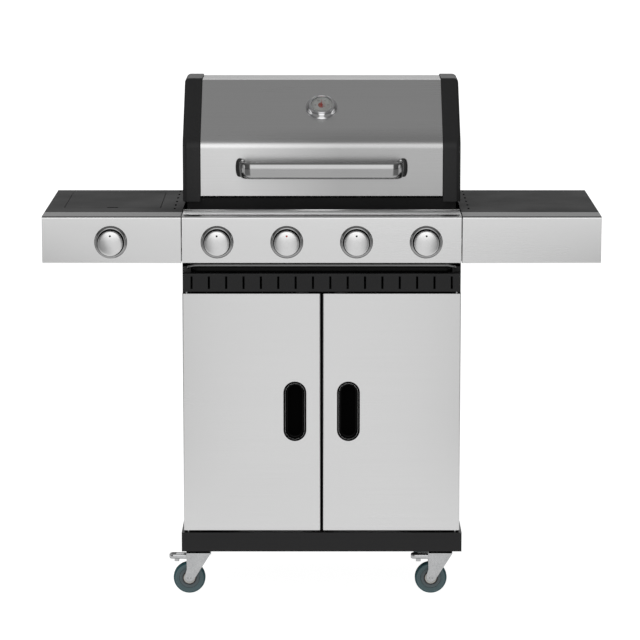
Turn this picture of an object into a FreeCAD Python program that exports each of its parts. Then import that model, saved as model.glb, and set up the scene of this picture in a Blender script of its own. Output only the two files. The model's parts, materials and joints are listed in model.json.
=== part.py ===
# Gas barbecue grill on a cabinet cart: four burners, a side burner under a flush lid, two doors.
# X runs to the right of someone facing the grill, Y to the back and Z up. The origin is on the
# ground, below the middle of the overall size. Lengths are in millimetres.
import FreeCAD, Part
import Sketcher
import os
import re

Vector, Rotation, Placement = FreeCAD.Vector, FreeCAD.Rotation, FreeCAD.Placement
doc = FreeCAD.newDocument("GasGrill")
sheet = doc.addObject("Spreadsheet::Sheet", "Sizes")

sizes = {
    # overall
    "overall_wide": 1280, "body_wide": 640, "shelf_deep": 465, "cart_deep": 460,
    "knob_out": 28, "hinge_out": 12,
    # the stack of heights, from the floor to the top of the panel
    "caster_tall": 115, "base_tall": 45, "door_under": 6, "door_tall": 557, "door_over": 4,
    "rail_tall": 43.5, "tray_space": 22.5, "fascia_tall": 109,
    # sheet metal, and the clearances between pieces
    "plate": 1.5, "skin": 1.2, "cast": 3, "bend": 5, "seam": 2, "running": 0.1, "apart": 0.5,
    # how far a cutter runs past what it cuts
    "past": 1,
    # panel, shelves
    "panel_deep": 120, "band_deep": 73, "skirt_tall": 60, "return_deep": 12,
    "panel_edge": 20, "vent_in": 20, "vent_long": 20, "vent_wide": 4, "vent_step": 62, "vent_start": 124,
    "bracket_wide": 30, "bracket_start": 30, "bracket_step": 240, "bracket_low": 5, "bracket_cut": 15,
    # knobs and gas train
    "knob_up": 49.7, "burner_step": 159.5, "side_knob_in": 4.9, "stem_play": 3,
    "bezel_radius": 37.75, "bezel_thick": 7, "knob_radius": 28.5, "knob_round": 5, "knob_gap": 2.2,
    "push": 4, "knob_face": 8, "stem_radius": 4, "stem_in": 5, "bonnet_long": 12, "bonnet_wall": 5,
    "valve_bore": 23, "outlet_radius": 5, "outlet_long": 20, "tube_start": 12, "saddle_radius": 7,
    "valve_start": 32, "valve_long": 40, "valve_wide": 24,
    "valve_tall": 30, "pipe_radius": 10, "pipe_wall": 1.5, "branch_radius": 5, "pipe_in": 52,
    "pipe_half": 300, "branch_over": 12, "nut_radius": 11, "nut_out": 6, "elbow_half": 8,
    "inlet_in": 12, "inlet_radius": 6.5, "inlet_long": 16, "inlet_wall": 2.5,
    "tube_radius": 12.5, "tube_wall": 1,
    # cabinet
    "side_front": 24, "flange": 18, "base_over": 5.5, "rail_slot": 5, "rail_slot_tall": 29, "rail_step": 39.8,
    "base_flange": 80, "back_slot": 160, "back_slot_tall": 8, "back_slot_step": 30, "back_slot_in": 40,
    "back_slot_up": 60, "screw_up": 40, "screw_long": 6,
    # doors
    "door_gap": 6, "door_thick": 18, "hinge_in": 10, "pin_radius": 2.5, "pin_long": 15,
    "pull_in": 58.8, "pull_up": 281.8, "pull_wide": 53, "pull_tall": 140, "pull_rim": 4.5,
    "pull_proud": 2, "pull_deep": 14, "pull_wall": 2, "magnet_in": 30, "magnet_wide": 30, "magnet_tall": 10,
    # drip tray
    "tray_half": 298, "tray_rim": 14, "tray_tall": 13, "lip_half": 309, "lip_tall": 6, "lip_in": 1,
    "lip_thick": 5, "tray_back": 8, "runner_up": 11,
    # firebox
    "fire_half": 312, "fire_deep": 337, "fire_wall": 2, "rim_lift": 27.5, "grate_drop": 21,
    "ledge_deep": 12, "grate_thick": 9, "grate_play": 2, "bar_wide": 6, "bar_gap": 10,
    "tamer_drop": 62, "tamer_tall": 16, "tamer_wide": 92, "tamer_edge": 3, "tamer_play": 3,
    "rack_lift": 68, "rack_half": 266, "rack_front": 295, "rack_deep": 135,
    "rail_radius": 2.5, "wire_radius": 1.75, "leg_radius": 3,
    # hood
    "hood_step": 5, "cap_lift": 28, "skin_lift": 32, "face_tall": 125, "slope_angle": 40,
    "slope_rise": 131, "slope_turn": 34, "top_back": 386, "rear_in": 10, "rear_tall": 106,
    "hood_turn": 12, "skin_half": 280.5, "cap_wide": 41.5, "cap_proud": 3.5, "cap_turn": 9,
    "pivot_lift": 26, "pivot_back": 5, "ear_radius": 7, "ear_in": 16, "ear_thick": 4, "ear_tall": 26,
    "hinge_plate": 3, "hinge_plate_in": 12, "hinge_plate_low": 30, "hinge_foot_tall": 50,
    "hood_pin_radius": 4, "hood_pin_in": 9, "hood_pin_long": 14,
    # handle
    "handle_half": 200, "handle_out": 55, "handle_tall": 36, "handle_thick": 13, "handle_up": 66.5,
    "handle_turn": 34, "foot_half": 189, "foot_wide": 25, "foot_tall": 44, "foot_thick": 6,
    # thermometer
    "gauge_up": 111, "gauge_radius": 37.5, "gauge_face": 28, "gauge_out": 14, "dial_radius": 24,
    "gauge_rim": 2, "dial_sink": 6, "dial_thick": 1, "probe_radius": 3, "probe_long": 45,
    "needle_long": 18, "needle_tail": 5, "needle_wide": 2, "needle_thick": 0.8, "needle_hub": 3,
    # side burner
    "lid_in": 54, "lid_out": 41, "lid_deep": 266, "lid_front": 146, "lid_skirt": 8, "lid_gap": 1,
    "notch_wide": 25, "notch_deep": 8, "lid_pin_in": 4, "lid_pin_down": 3.5, "lid_pin_radius": 1.5,
    "lid_pin_long": 8, "well_deep": 44, "well_flange": 10,
    "head_radius": 38, "head_tall": 18, "head_cap": 6, "throat_radius": 11, "throat_hole": 14,
    "venturi_bore": 9.5, "venturi_deep": 80, "ring_radius": 80, "ring_wide": 4, "stand_tall": 8,
    "arm_long": 62, "leg_wide": 6, "head_step": 8,
    # casters
    "caster_half": 283.5, "caster_in": 65, "trail": 27, "wheel_radius": 37.5, "tyre_wide": 22,
    "hub_radius": 24, "axle_radius": 4, "fork_thick": 2.5, "plate_wide": 62, "race_radius": 23,
    "race_tall": 6, "king_radius": 6, "king_head": 3, "king_out": 4, "crown_thick": 3.8, "wheel_play": 2,
    "axle_over": 3, "bolt_in": 24, "bolt_radius": 3, "bolt_end": 2,
    "bolt_head": 5, "head_thick": 3, "pedal_in": 16, "pedal_high": 87, "pedal_long": 57, "pedal_wide": 24,
    "pedal_thick": 2.5, "pedal_up": 4, "pedal_side": 10, "pedal_pad": 1.5, "pedal_tip": 15, "pedal_hub": 4.5, "pedal_pin": 2,
}
places = {
    "front": "-(knob_out + shelf_deep + hinge_out) / 2 + knob_out",
    "half": "body_wide / 2",
    "outer": "overall_wide / 2",
    "inner": "half + seam",
    "base_top": "caster_tall + base_tall",
    "door_low": "base_top + door_under",
    "door_high": "door_low + door_tall",
    "rail_low": "door_high + door_over",
    "rail_high": "rail_low + rail_tall",
    "runner_low": "rail_high + runner_up",
    "tray_top": "runner_low + 2 * plate + apart",
    "panel_low": "rail_high + tray_space",
    "top": "panel_low + fascia_tall",
    "knob_high": "panel_low + knob_up",
    "pipe_y": "front + pipe_in",
    "pipe_z": "knob_high - valve_tall / 2 - pipe_radius",
    "valve_end": "front + valve_start + valve_long",
    "nut_end": "half + seam + nut_out",
    "fire_front": "front + panel_deep",
    "fire_back": "fire_front + fire_deep",
    "fire_top": "top + rim_lift",
    "grate_low": "fire_top - grate_drop",
    "tamer_low": "fire_top - tamer_drop",
    "pivot_y": "front + shelf_deep + pivot_back",
    "pivot_z": "top + pivot_lift",
    "hood_front": "fire_front - hood_step",
    "bend_z": "top + skin_lift + face_tall",
    "slope_run": "slope_rise / tan(slope_angle)",
    "hood_back": "front + shelf_deep - rear_in",
    "gauge_y": "hood_front + gauge_up * cos(slope_angle)",
    "gauge_z": "bend_z + gauge_up * sin(slope_angle)",
    "lid_wide": "outer - inner - lid_in - lid_out",
    "lid_side": "(inner + lid_in + outer - lid_out) / 2",
    "side_knob": "lid_side - side_knob_in",
    "lid_back": "front + lid_front + lid_deep",
    "lid_pin_y": "lid_back - lid_pin_in",
    "lid_pin_z": "top - lid_pin_down",
    "well_low": "top - plate - well_deep",
    "crown_top": "caster_tall - plate - race_tall - apart",
}


def formula(text):
    """the text with each size read from the sheet and each place spelled out"""
    def swap(found):
        word = found.group()
        if word in sizes:
            return "Sizes." + word
        return "(" + formula(places[word]) + ")" if word in places else word
    return re.sub(r"[a-z_]+", swap, str(text))


for row, (name, value) in enumerate(sizes.items(), 1):
    sheet.set(f"A{row}", name)
    sheet.set(f"B{row}", str(value))
    sheet.setAlias(f"B{row}", name)
doc.recompute()

# ---------------------------------------------------------------- building blocks
AXES = {"x": Rotation(Vector(0, 1, 0), 90), "y": Rotation(Vector(1, 0, 0), -90), "z": Rotation(),
        "-y": Rotation(Vector(1, 0, 0), 90)}


def bind(item, **values):
    for name, text in values.items():
        item.setExpression(name, formula(text))
    return item


def place(item, at, turn=None):
    if turn:
        item.Placement = Placement(Vector(), turn)
    for axis, text in zip("xyz", at):
        item.setExpression("Placement.Base." + axis, formula(text))
    return item


def solid(kind, name, at, turn=None, **values):
    return place(bind(doc.addObject("Part::" + kind, name), **values), at, turn)


def block(name, low, size):
    return solid("Box", name, low, Length=size[0], Width=size[1], Height=size[2])


def rod(name, start, axis, radius, length):
    return solid("Cylinder", name, start, AXES[axis], Radius=radius, Height=length)


def group(label, items):
    whole = doc.addObject("Part::Compound", label)
    whole.Links = list(items)
    return whole


def fuse(label, *items):
    whole = doc.addObject("Part::MultiFuse", label)
    whole.Shapes = list(items)
    whole.Refine = True
    return whole


def cut(label, base, *tools):
    part = doc.addObject("Part::Cut", label)
    part.Base = base
    part.Tool = tools[0] if len(tools) == 1 else group(label + "_tools", tools)
    part.Refine = True
    return part


def span(side, near, far):
    """low X of a stretch that runs from near to far, measured outwards on one side"""
    return f"({near})" if side > 0 else f"-({far})"


# ---------------------------------------------------------------- bodies made by features
def body_of(label):
    return doc.addObject("PartDesign::Body", label)


def feature(body, kind, name, at, turn=None, **values):
    item = place(bind(body.newObject("PartDesign::" + kind, name), **values), at, turn)
    doc.recompute([item])
    return item


def add_box(body, low, size, name="Block"):
    return feature(body, "AdditiveBox", name, low, Length=size[0], Width=size[1], Height=size[2])


def cut_box(body, low, size, name="Opening"):
    return feature(body, "SubtractiveBox", name, low, Length=size[0], Width=size[1], Height=size[2])


def cut_rod(body, start, axis, radius, length, name="Hole"):
    return feature(body, "SubtractiveCylinder", name, start, AXES[axis], Radius=radius, Height=length)


def lies_on(item, whole, side):
    """whether an edge or a face lies in one side of the whole's box, such as x- or z+"""
    stretch = {"x": ("XMin", "XMax"), "y": ("YMin", "YMax"), "z": ("ZMin", "ZMax")}[side[0]]
    level = getattr(whole.BoundBox, stretch[side[1] == "+"])
    return all(abs(getattr(item.BoundBox, end) - level) < 1e-4 for end in stretch)


def rounded(body, radius, picked, name="Bend"):
    """rounds the edges for which picked(edge, whole) holds"""
    base = body.Tip
    names = [f"Edge{i}" for i, edge in enumerate(base.Shape.Edges, 1) if picked(edge, base.Shape)]
    item = body.newObject("PartDesign::Fillet", name)
    item.Base = (base, names)
    bind(item, Radius=radius)
    doc.recompute([item])
    return item


def where(*pairs):
    """picks the edges that lie in all the sides of one of the groups named"""
    return lambda edge, whole: any(all(lies_on(edge, whole, side) for side in pair) for pair in pairs)


def hollowed(body, open_sides, wall, name="Sheet"):
    """leaves a wall of even thickness inside the outline, open on the sides named"""
    base = body.Tip
    names = [f"Face{i}" for i, face in enumerate(base.Shape.Faces, 1)
             if any(lies_on(face, base.Shape, side) for side in open_sides)]
    item = body.newObject("PartDesign::Thickness", name)
    item.Base = (base, names)
    item.Reversed = True
    item.Join = 1
    bind(item, Value=wall)
    doc.recompute([item])
    return item


def repeated(body, item, role, step, count, name="Row"):
    pattern = body.newObject("PartDesign::LinearPattern", name)
    pattern.Originals = [item]
    pattern.Direction = ([axis for axis in body.Origin.OriginFeatures if axis.Role == role][0], [""])
    pattern.Occurrences = count
    bind(pattern, Length=f"({step}) * {count - 1}")
    body.Tip = pattern
    doc.recompute([pattern])
    return pattern


def outline(body, role, corners, name="Outline"):
    """a closed sketch of straight sides, each corner held from the origin"""
    sketch = body.newObject("Sketcher::SketchObject", name)
    sketch.AttachmentSupport = [([p for p in body.Origin.OriginFeatures if p.Role == role][0], "")]
    sketch.MapMode = "FlatFace"
    count = len(corners)
    for i in range(count):
        j = (i + 1) % count
        sketch.addGeometry(Part.LineSegment(Vector(i, i * i, 0), Vector(j, j * j, 0)), False)
    for i in range(count):
        sketch.addConstraint(Sketcher.Constraint("Coincident", i, 2, (i + 1) % count, 1))
    for i, corner in enumerate(corners):
        for way, text in zip(("DistanceX", "DistanceY"), corner):
            held = sketch.addConstraint(Sketcher.Constraint(way, -1, 1, i, 1, i + 1.0))
            sketch.setExpression(f"Constraints[{held}]", formula(text))
    doc.recompute([sketch])
    return sketch


def padded(body, sketch, length, name="Pad"):
    pad = body.newObject("PartDesign::Pad", name)
    pad.Profile = sketch
    pad.SideType = "Symmetric"
    bind(pad, Length=length)
    doc.recompute([pad])
    return pad


def pan(label, low, size, wall, open_sides, bends=(), radius="bend"):
    """a box of bent sheet, open on the sides named"""
    body = body_of(label)
    add_box(body, low, size)
    if bends:
        rounded(body, radius, where(*bends))
    hollowed(body, open_sides, wall)
    return body


nodes = []


def keep(item):
    nodes.append(item)
    return item


SIDES = {"left": -1, "right": 1}

# ---------------------------------------------------------------- cart
bolt_spots = [(sx, fy, bx, by) for sx in (-1, 1) for fy in (0, 1) for bx in (-1, 1) for by in (-1, 1)]


def caster_y(rear):
    return "front + cart_deep - caster_in" if rear else "front + caster_in"


def bolt_row(name, low, radius, length):
    """one rod at each caster bolt"""
    return [rod(name, (f"{sx} * caster_half + {bx} * bolt_in", f"{caster_y(fy)} + {by} * bolt_in", low),
                "z", radius, length) for sx, fy, bx, by in bolt_spots]


base_wide = "body_wide + 2 * base_over"
base_box = block("base_box", ("-half - base_over", "front", "caster_tall"),
                 (base_wide, "cart_deep", "base_tall"))
base_space = block("base_space", ("-half - base_over + plate", "front + plate", "caster_tall + plate"),
                   (base_wide + " - 2 * plate", "cart_deep - 2 * plate", "base_tall - 2 * plate"))
base_mouth = block("base_mouth", ("-half + base_flange", "front + base_flange / 2", "caster_tall"),
                   ("body_wide - 2 * base_flange", "cart_deep - base_flange", "plate"))
keep(cut("cart_base", base_box, base_space, base_mouth,
         *bolt_row("base_bolt_hole", "caster_tall", "bolt_radius", "plate")))

screw_spots = [(sx, step) for sx in (-1, 1) for step in range(4)]


def screw_row(name, y, radius, length):
    return [rod(name, (f"{sx} * (half - flange / 2 - plate)", y,
                       f"base_top + screw_up + {step} * (door_tall - screw_up) / 3"), "y", radius, length)
            for sx, step in screw_spots]


sides = []
for side in SIDES.values():
    body = body_of("side_blank")
    add_box(body, (span(side, "half - flange - plate", "half"), "front + side_front", "base_top"),
            ("flange + plate", "cart_deep - side_front - plate", "panel_low - base_top"))
    hollowed(body, ["x+" if side < 0 else "x-"], "plate")
    add_box(body, (span(side, "tray_half + seam", "half - plate"), "front + side_front", "runner_low"),
            ("half - plate - tray_half - seam", "cart_deep - side_front - plate", "plate"), "Runner")
    cut_box(body, (span(side, "tray_half", "half - plate"), "front + side_front - past",
                   "runner_low + plate"),
            ("half - plate - tray_half", "plate + past", "panel_low - runner_low - 2 * plate"), "TrayGate")
    sides.append(cut("side_drilled", body,
                     *screw_row("side_screw_hole", "front + cart_deep - 2 * plate", "bolt_radius", "plate")))
keep(group("cart_sides", sides))

back = body_of("back_blank")
add_box(back, ("-half", "front + cart_deep - plate", "base_top"),
        ("body_wide", "plate", "panel_low - base_top"))
for side in SIDES.values():
    vent = cut_box(back, (span(side, "back_slot_in", "back_slot_in + back_slot"),
                          "front + cart_deep - 2 * plate", "base_top + back_slot_up"),
                   ("back_slot", "3 * plate", "back_slot_tall"), "Vent")
    repeated(back, vent, "Z_Axis", "back_slot_step", 8)
keep(cut("cart_back", back,
         *screw_row("back_screw_hole", "front + cart_deep - plate", "bolt_radius", "plate")))

rail = pan("front_rail", ("-half + plate", "front", "rail_low"),
           ("body_wide - 2 * plate", "side_front", "rail_tall"), "plate", ["y+", "x-", "x+"],
           [("y-", "z+"), ("y-", "z-")], "2 * plate")
slots = 16
slot = cut_box(rail, (f"-{(slots - 1) / 2} * rail_step - rail_slot / 2", "front - plate",
                      "rail_low + (rail_tall - rail_slot_tall) / 2"),
               ("rail_slot", "3 * plate", "rail_slot_tall"), "Slot")
repeated(rail, slot, "X_Axis", "rail_step", slots)
keep(rail)

# ---------------------------------------------------------------- control panel and shelves
panel = pan("control_panel", ("-half", "front", "panel_low"), ("body_wide", "panel_deep", "fascia_tall"),
            "plate", ["y+"], [("y-", "z+"), ("y-", "z-")])
cut_box(panel, ("-half + panel_edge", "front + return_deep", "panel_low - plate"),
        ("body_wide - 2 * panel_edge", "panel_deep", "3 * plate"))
hole = cut_rod(panel, ("-1.5 * burner_step", "front - bend", "knob_high"), "y", "stem_radius + stem_play",
               "4 * bend", "StemHole")
repeated(panel, hole, "X_Axis", "burner_step", 4)
cut_rod(panel, ("-half - plate", "pipe_y", "pipe_z"), "x", "nut_radius + past", "body_wide + 2 * plate",
        "PipeHoles")
keep(panel)

for word, side in SIDES.items():
    low_x = span(side, "inner", "outer")
    fascia = pan("fascia_" + word, (low_x, "front", "panel_low"),
                 ("outer - inner", "band_deep", "fascia_tall"), "plate", ["y+"], [("y-", "z+"), ("y-", "z-")])
    cut_rod(fascia, (span(side, "inner - plate", "inner + 3 * plate"), "pipe_y", "pipe_z"), "x",
            "nut_radius + past", "4 * plate", "PipeHole")
    if side < 0:
        cut_rod(fascia, ("-side_knob", "front - bend", "knob_high"), "y", "stem_radius + stem_play",
                "4 * bend", "StemHole")
    shelf = pan("shelf_" + word, (low_x, "front + band_deep", "top - skirt_tall"),
                ("outer - inner", "shelf_deep - band_deep", "skirt_tall"), "plate", ["z-", "y-"],
                [("y+", "z+")], "2 * plate")
    vent = cut_box(shelf, (span(side, "inner + vent_in - vent_wide / 2", "inner + vent_in + vent_wide / 2"),
                           "front + vent_start", "top - 2 * plate"),
                   ("vent_wide", "vent_long", "3 * plate"), "Vent")
    repeated(shelf, vent, "Y_Axis", "vent_step", 6)
    if side < 0:
        cut_box(shelf, ("-lid_side - lid_wide / 2 - lid_gap", "front + lid_front - lid_gap",
                        "top - 2 * plate"),
                ("lid_wide + 2 * lid_gap", "lid_deep + 3 * lid_gap", "3 * plate"), "BurnerOpening")
    keep(fascia)
    keep(shelf)

shelf_brackets = [
    block("bracket", (span(side, "fire_half", "inner"), f"fire_front + bracket_start + {step} * bracket_step",
                      "top - skirt_tall + bracket_low"),
          ("inner - fire_half", "bracket_wide", "skirt_tall - bracket_cut"))
    for side in SIDES.values() for step in (0, 1)]

# ---------------------------------------------------------------- knobs and gas train
knob_spots = ["-side_knob"] + [f"({i} - 1.5) * burner_step" for i in range(4)]
bezels, valves, stems, knobs = [], [], [], []
for number, x in enumerate(knob_spots, 1):
    bezel_blank = body_of(f"bezel_blank_{number}")
    feature(bezel_blank, "AdditiveCylinder", "Disc", (x, "front", "knob_high"), AXES["-y"],
            Radius="bezel_radius", Height="bezel_thick")
    rounded(bezel_blank, "bezel_thick * 0.6", where(("y-",)))
    cut_rod(bezel_blank, (x, "front - plate", "knob_high"), "-y", "knob_radius + knob_gap", "bezel_thick",
            "Well")
    cut_rod(bezel_blank, (x, "front + plate", "knob_high"), "-y", "stem_radius + past", "3 * plate",
            "StemHole")
    bezels.append(bezel_blank)

    bonnet = rod("bonnet", (x, "front + valve_start - bonnet_long", "knob_high"), "y",
                 "stem_radius + bonnet_wall", "bonnet_long")
    housing = block("housing", (f"{x} - valve_wide / 2", "front + valve_start", "knob_high - valve_tall / 2"),
                    ("valve_wide", "valve_long", "valve_tall"))
    outlet = rod("outlet", (x, "valve_end", "knob_high"), "y", "outlet_radius", "outlet_long")
    valve_bore = rod("valve_bore", (x, "front + valve_start - bonnet_long - past", "knob_high"), "y",
                     "stem_radius + running", "bonnet_long + past + valve_bore")
    valves.append(cut("valve", fuse("valve_solid", bonnet, housing, outlet), valve_bore))

    keep(rod(f"valve_stem_{number}", (x, "front - knob_out + knob_face", "knob_high"), "y", "stem_radius",
             "knob_out - knob_face + valve_start + stem_in"))
    knob = body_of(f"knob_{number}")
    feature(knob, "AdditiveCylinder", "Grip", (x, "front - plate - push - apart", "knob_high"), AXES["-y"],
            Radius="knob_radius", Height="knob_out - plate - push - apart")
    rounded(knob, "knob_round", where(("y-",)))
    cut_rod(knob, (x, "front", "knob_high"), "-y", "stem_radius + running",
            "knob_out - knob_face + 4 * running", "StemBore")
    keep(knob)
keep(group("knob_bezels", bezels))
keep(group("gas_valves", valves))

main_pipe = rod("main_pipe", ("-pipe_half", "pipe_y", "pipe_z"), "x", "pipe_radius", "2 * pipe_half")
branch = rod("branch", ("-side_knob - branch_over", "pipe_y", "pipe_z"), "x", "branch_radius",
             "side_knob + branch_over - pipe_half")
nut = rod("nut", ("pipe_half", "pipe_y", "pipe_z"), "x", "nut_radius", "nut_end - pipe_half")
elbow = block("elbow", ("nut_end", "pipe_y - elbow_half", "pipe_z - elbow_half"),
              ("inlet_in + elbow_half", "2 * elbow_half", "2 * elbow_half"))
inlet = rod("inlet", ("nut_end + inlet_in", "pipe_y", "pipe_z"), "y", "inlet_radius",
            "elbow_half + inlet_long")
saddles = [rod("saddle", (x, "pipe_y", "pipe_z"), "z", "saddle_radius", "pipe_radius") for x in knob_spots]
bore = rod("pipe_bore", ("-pipe_half + pipe_wall", "pipe_y", "pipe_z"), "x", "pipe_radius - pipe_wall",
           "2 * pipe_half - 2 * pipe_wall")
elbow_bore = rod("elbow_bore", ("pipe_half - 2 * pipe_wall", "pipe_y", "pipe_z"), "x",
                 "inlet_radius - inlet_wall", "nut_end + inlet_in - pipe_half + 2 * pipe_wall")
inlet_bore = rod("inlet_bore", ("nut_end + inlet_in", "pipe_y", "pipe_z"), "y",
                 "inlet_radius - inlet_wall - apart", "elbow_half + inlet_long + past")
keep(cut("gas_manifold", fuse("manifold_solid", main_pipe, branch, nut, elbow, inlet, *saddles),
         bore, elbow_bore, inlet_bore))

# ---------------------------------------------------------------- firebox
firebox = body_of("firebox")
add_box(firebox, ("-fire_half", "fire_front", "panel_low"),
        ("2 * fire_half", "fire_deep", "fire_top - panel_low"))
hollowed(firebox, ["z+", "z-"], "fire_wall")
for level in ("grate_low - plate", "tamer_low - plate"):
    for y in ("fire_front + fire_wall", "fire_back - fire_wall - ledge_deep"):
        add_box(firebox, ("-fire_half + fire_wall", y, level),
                ("2 * fire_half - 2 * fire_wall", "ledge_deep", "plate"), "Ledge")
hole = cut_rod(firebox, ("-1.5 * burner_step", "fire_front - fire_wall", "knob_high"), "y", "tube_radius",
               "3 * fire_wall", "TubeHole")
repeated(firebox, hole, "X_Axis", "burner_step", 4)
keep(firebox)

tubes, tamers = [], []
for x in knob_spots[1:]:
    start, run = "valve_end + tube_start", "fire_back - fire_wall - valve_end - tube_start"
    tubes.append(cut("tube", rod("tube_outside", (x, start, "knob_high"), "y", "tube_radius", run),
                     rod("tube_inside", (x, f"{start} - past", "knob_high"), "y", "tube_radius - tube_wall",
                         f"{run} - 2 * past")))
    tamer = body_of("tamer")
    ridge, eave = "tamer_tall", "tamer_wide / 2"
    padded(tamer, outline(tamer, "XZ_Plane", [
        (f"-({eave})", "0"), ("0", ridge), (eave, "0"), (f"{eave} - tamer_edge", "0"),
        ("0", f"{ridge} - plate"), (f"-({eave}) + tamer_edge", "0")]),
        "fire_deep - 2 * fire_wall - 2 * tamer_play")
    place(tamer, (x, "(fire_front + fire_back) / 2", "tamer_low"))
    tamers.append(tamer)
keep(group("burner_tubes", tubes))
keep(group("flame_tamers", tamers))

grate = body_of("grate")
grate_wide = "fire_half - fire_wall - 2 * grate_play"
grate_run = "fire_deep - 2 * fire_wall - 2 * grate_play"
grate_front = "fire_front + fire_wall + grate_play"
add_box(grate, ("grate_play", grate_front, "grate_low"), (grate_wide, grate_run, "grate_thick"))
gap = cut_box(grate, ("bar_wide + 2 * grate_play", f"{grate_front} + ledge_deep", "grate_low - past"),
              ("bar_gap", f"{grate_run} - 2 * ledge_deep", "grate_thick + 2 * past"), "Gap")
repeated(grate, gap, "X_Axis", "bar_wide + bar_gap", 18)
other = doc.addObject("Part::Mirroring", "other_grate")
other.Source = grate
other.Normal = (1, 0, 0)
keep(group("cooking_grates", [grate, other]))

# the rack's wires lie on its two rails, which stand on legs
rack_z, rack_y = "fire_top + rack_lift", "front + rack_front"
wires = [rod("rack_wire", (f"-rack_half + {i} * 2 * rack_half / 28", f"{rack_y} - past",
                           f"{rack_z} + rail_radius"), "y", "wire_radius", "rack_deep + 2 * past")
         for i in range(29)]
for y in (rack_y, rack_y + " + rack_deep"):
    wires.append(rod("rack_rail", ("-rack_half - leg_radius - past", y, rack_z), "x", "rail_radius",
                     "2 * (rack_half + leg_radius + past)"))
    for side in SIDES.values():
        wires.append(rod("rack_leg", (f"{side} * rack_half", y, "grate_low + grate_thick"), "z", "leg_radius",
                         f"{rack_z} - grate_low - grate_thick"))
rack = fuse("warming_rack", *wires)
rack.Refine = False
keep(rack)

# ---------------------------------------------------------------- hood
def hood_profile(proud, low):
    """corners of the hood seen from the side, standing proud of the skin by the amount given"""
    return [(f"hood_front - {proud}", low),
            (f"hood_front - {proud}", f"bend_z + {proud} * tan(90 / 2 - slope_angle / 2)"),
            (f"hood_front + slope_run - {proud} * tan(slope_angle / 2)", f"bend_z + slope_rise + {proud}"),
            (f"front + top_back + {proud} * 0.5", f"bend_z + slope_rise + {proud}"),
            (f"hood_back + {proud}", "top + rear_tall + skin_lift"),
            (f"hood_back + {proud}", low)]


def along_x(edge):
    return edge.BoundBox.YLength < 1e-4 and edge.BoundBox.ZLength < 1e-4


def hood_blank(label, proud, low, length):
    body = body_of(label)
    padded(body, outline(body, "YZ_Plane", hood_profile(proud, low)), length)
    rounded(body, f"slope_turn + {proud}", lambda edge, whole: along_x(edge)
            and lies_on(edge, whole, "y-") and not lies_on(edge, whole, "z-"), "FrontTurn")
    rounded(body, f"hood_turn + {proud}", lambda edge, whole: along_x(edge) and lies_on(edge, whole, "z+"),
            "TopTurns")
    return body


skin = hood_blank("hood_skin", "0", "top + skin_lift", "2 * skin_half")
hollowed(skin, ["x-", "x+", "z-"], "skin")
probe_hole = feature(skin, "SubtractiveCylinder", "ProbeHole", (
    "0", "gauge_y + bend * sin(slope_angle)", "gauge_z - bend * cos(slope_angle)"),
    Rotation(Vector(1, 0, 0), sizes["slope_angle"]), Radius="probe_radius + past", Height="2 * bend")
probe_hole.setExpression("Placement.Rotation.Angle", formula("slope_angle"))
keep(skin)

for word, side in SIDES.items():
    outer_side = "x-" if side < 0 else "x+"
    cap = hood_blank("cap_outside_" + word, "cap_proud", "top + cap_lift", "cap_wide")
    rounded(cap, "cap_turn", lambda edge, whole: lies_on(edge, whole, outer_side)
            and not lies_on(edge, whole, "z-"), "OuterTurn")
    inside = hood_blank("cap_inside_" + word, "(cap_proud - cast)", "top + cap_lift - past", "cap_wide")
    place(cap, (f"{side} * (skin_half + cap_wide / 2)", "0", "0"))
    place(inside, (f"{side} * (skin_half + cap_wide / 2 - cast)", "0", "0"))
    ear_x = span(side, "skin_half + ear_in", "skin_half + ear_in + ear_thick")
    shell = cut("cap_shell_" + word, cap, inside)
    ears = [block("ear", (ear_x, "hood_back + cap_proud - past", "pivot_z + ear_radius - past"),
                  ("ear_thick", "pivot_y + ear_radius - hood_back - cap_proud + past", "ear_tall")),
            block("ear_neck", (ear_x, "pivot_y - ear_radius", "pivot_z"),
                  ("ear_thick", "2 * ear_radius", "ear_radius")),
            rod("ear_eye", (ear_x, "pivot_y", "pivot_z"), "x", "ear_radius", "ear_thick")]
    keep(cut("hood_cap_" + word, fuse("cap_solid_" + word, shell, *ears),
             rod("ear_hole", (span(side, "skin_half + ear_in - past", "skin_half + ear_in + ear_thick + past"),
                              "pivot_y", "pivot_z"), "x", "hood_pin_radius + running",
                 "ear_thick + 2 * past")))

hinge_brackets = []
for side in SIDES.values():
    plate_x = span(side, "skin_half + hinge_plate_in", "skin_half + hinge_plate_in + hinge_plate")
    web = block("bracket_web", (plate_x, "fire_back", "top - hinge_plate_low"),
                ("hinge_plate", "pivot_y + ear_radius - fire_back", "pivot_z - top + hinge_plate_low"))
    foot = block("bracket_foot", (span(side, "skin_half", "skin_half + hinge_plate_in + hinge_plate"),
                                  "fire_back", "top - hinge_plate_low"),
                 ("hinge_plate_in + hinge_plate", "hinge_plate", "hinge_foot_tall"))
    eye = rod("bracket_eye", (plate_x, "pivot_y", "pivot_z"), "x", "ear_radius", "hinge_plate")
    hole = rod("bracket_hole", (span(side, "skin_half + hinge_plate_in - past",
                                     "skin_half + hinge_plate_in + hinge_plate + past"), "pivot_y", "pivot_z"),
               "x", "hood_pin_radius", "hinge_plate + 2 * past")
    hinge_brackets.append(cut("hinge_bracket", fuse("bracket_solid", web, foot, eye), hole))
keep(group("firebox_brackets", shelf_brackets + hinge_brackets))

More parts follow.
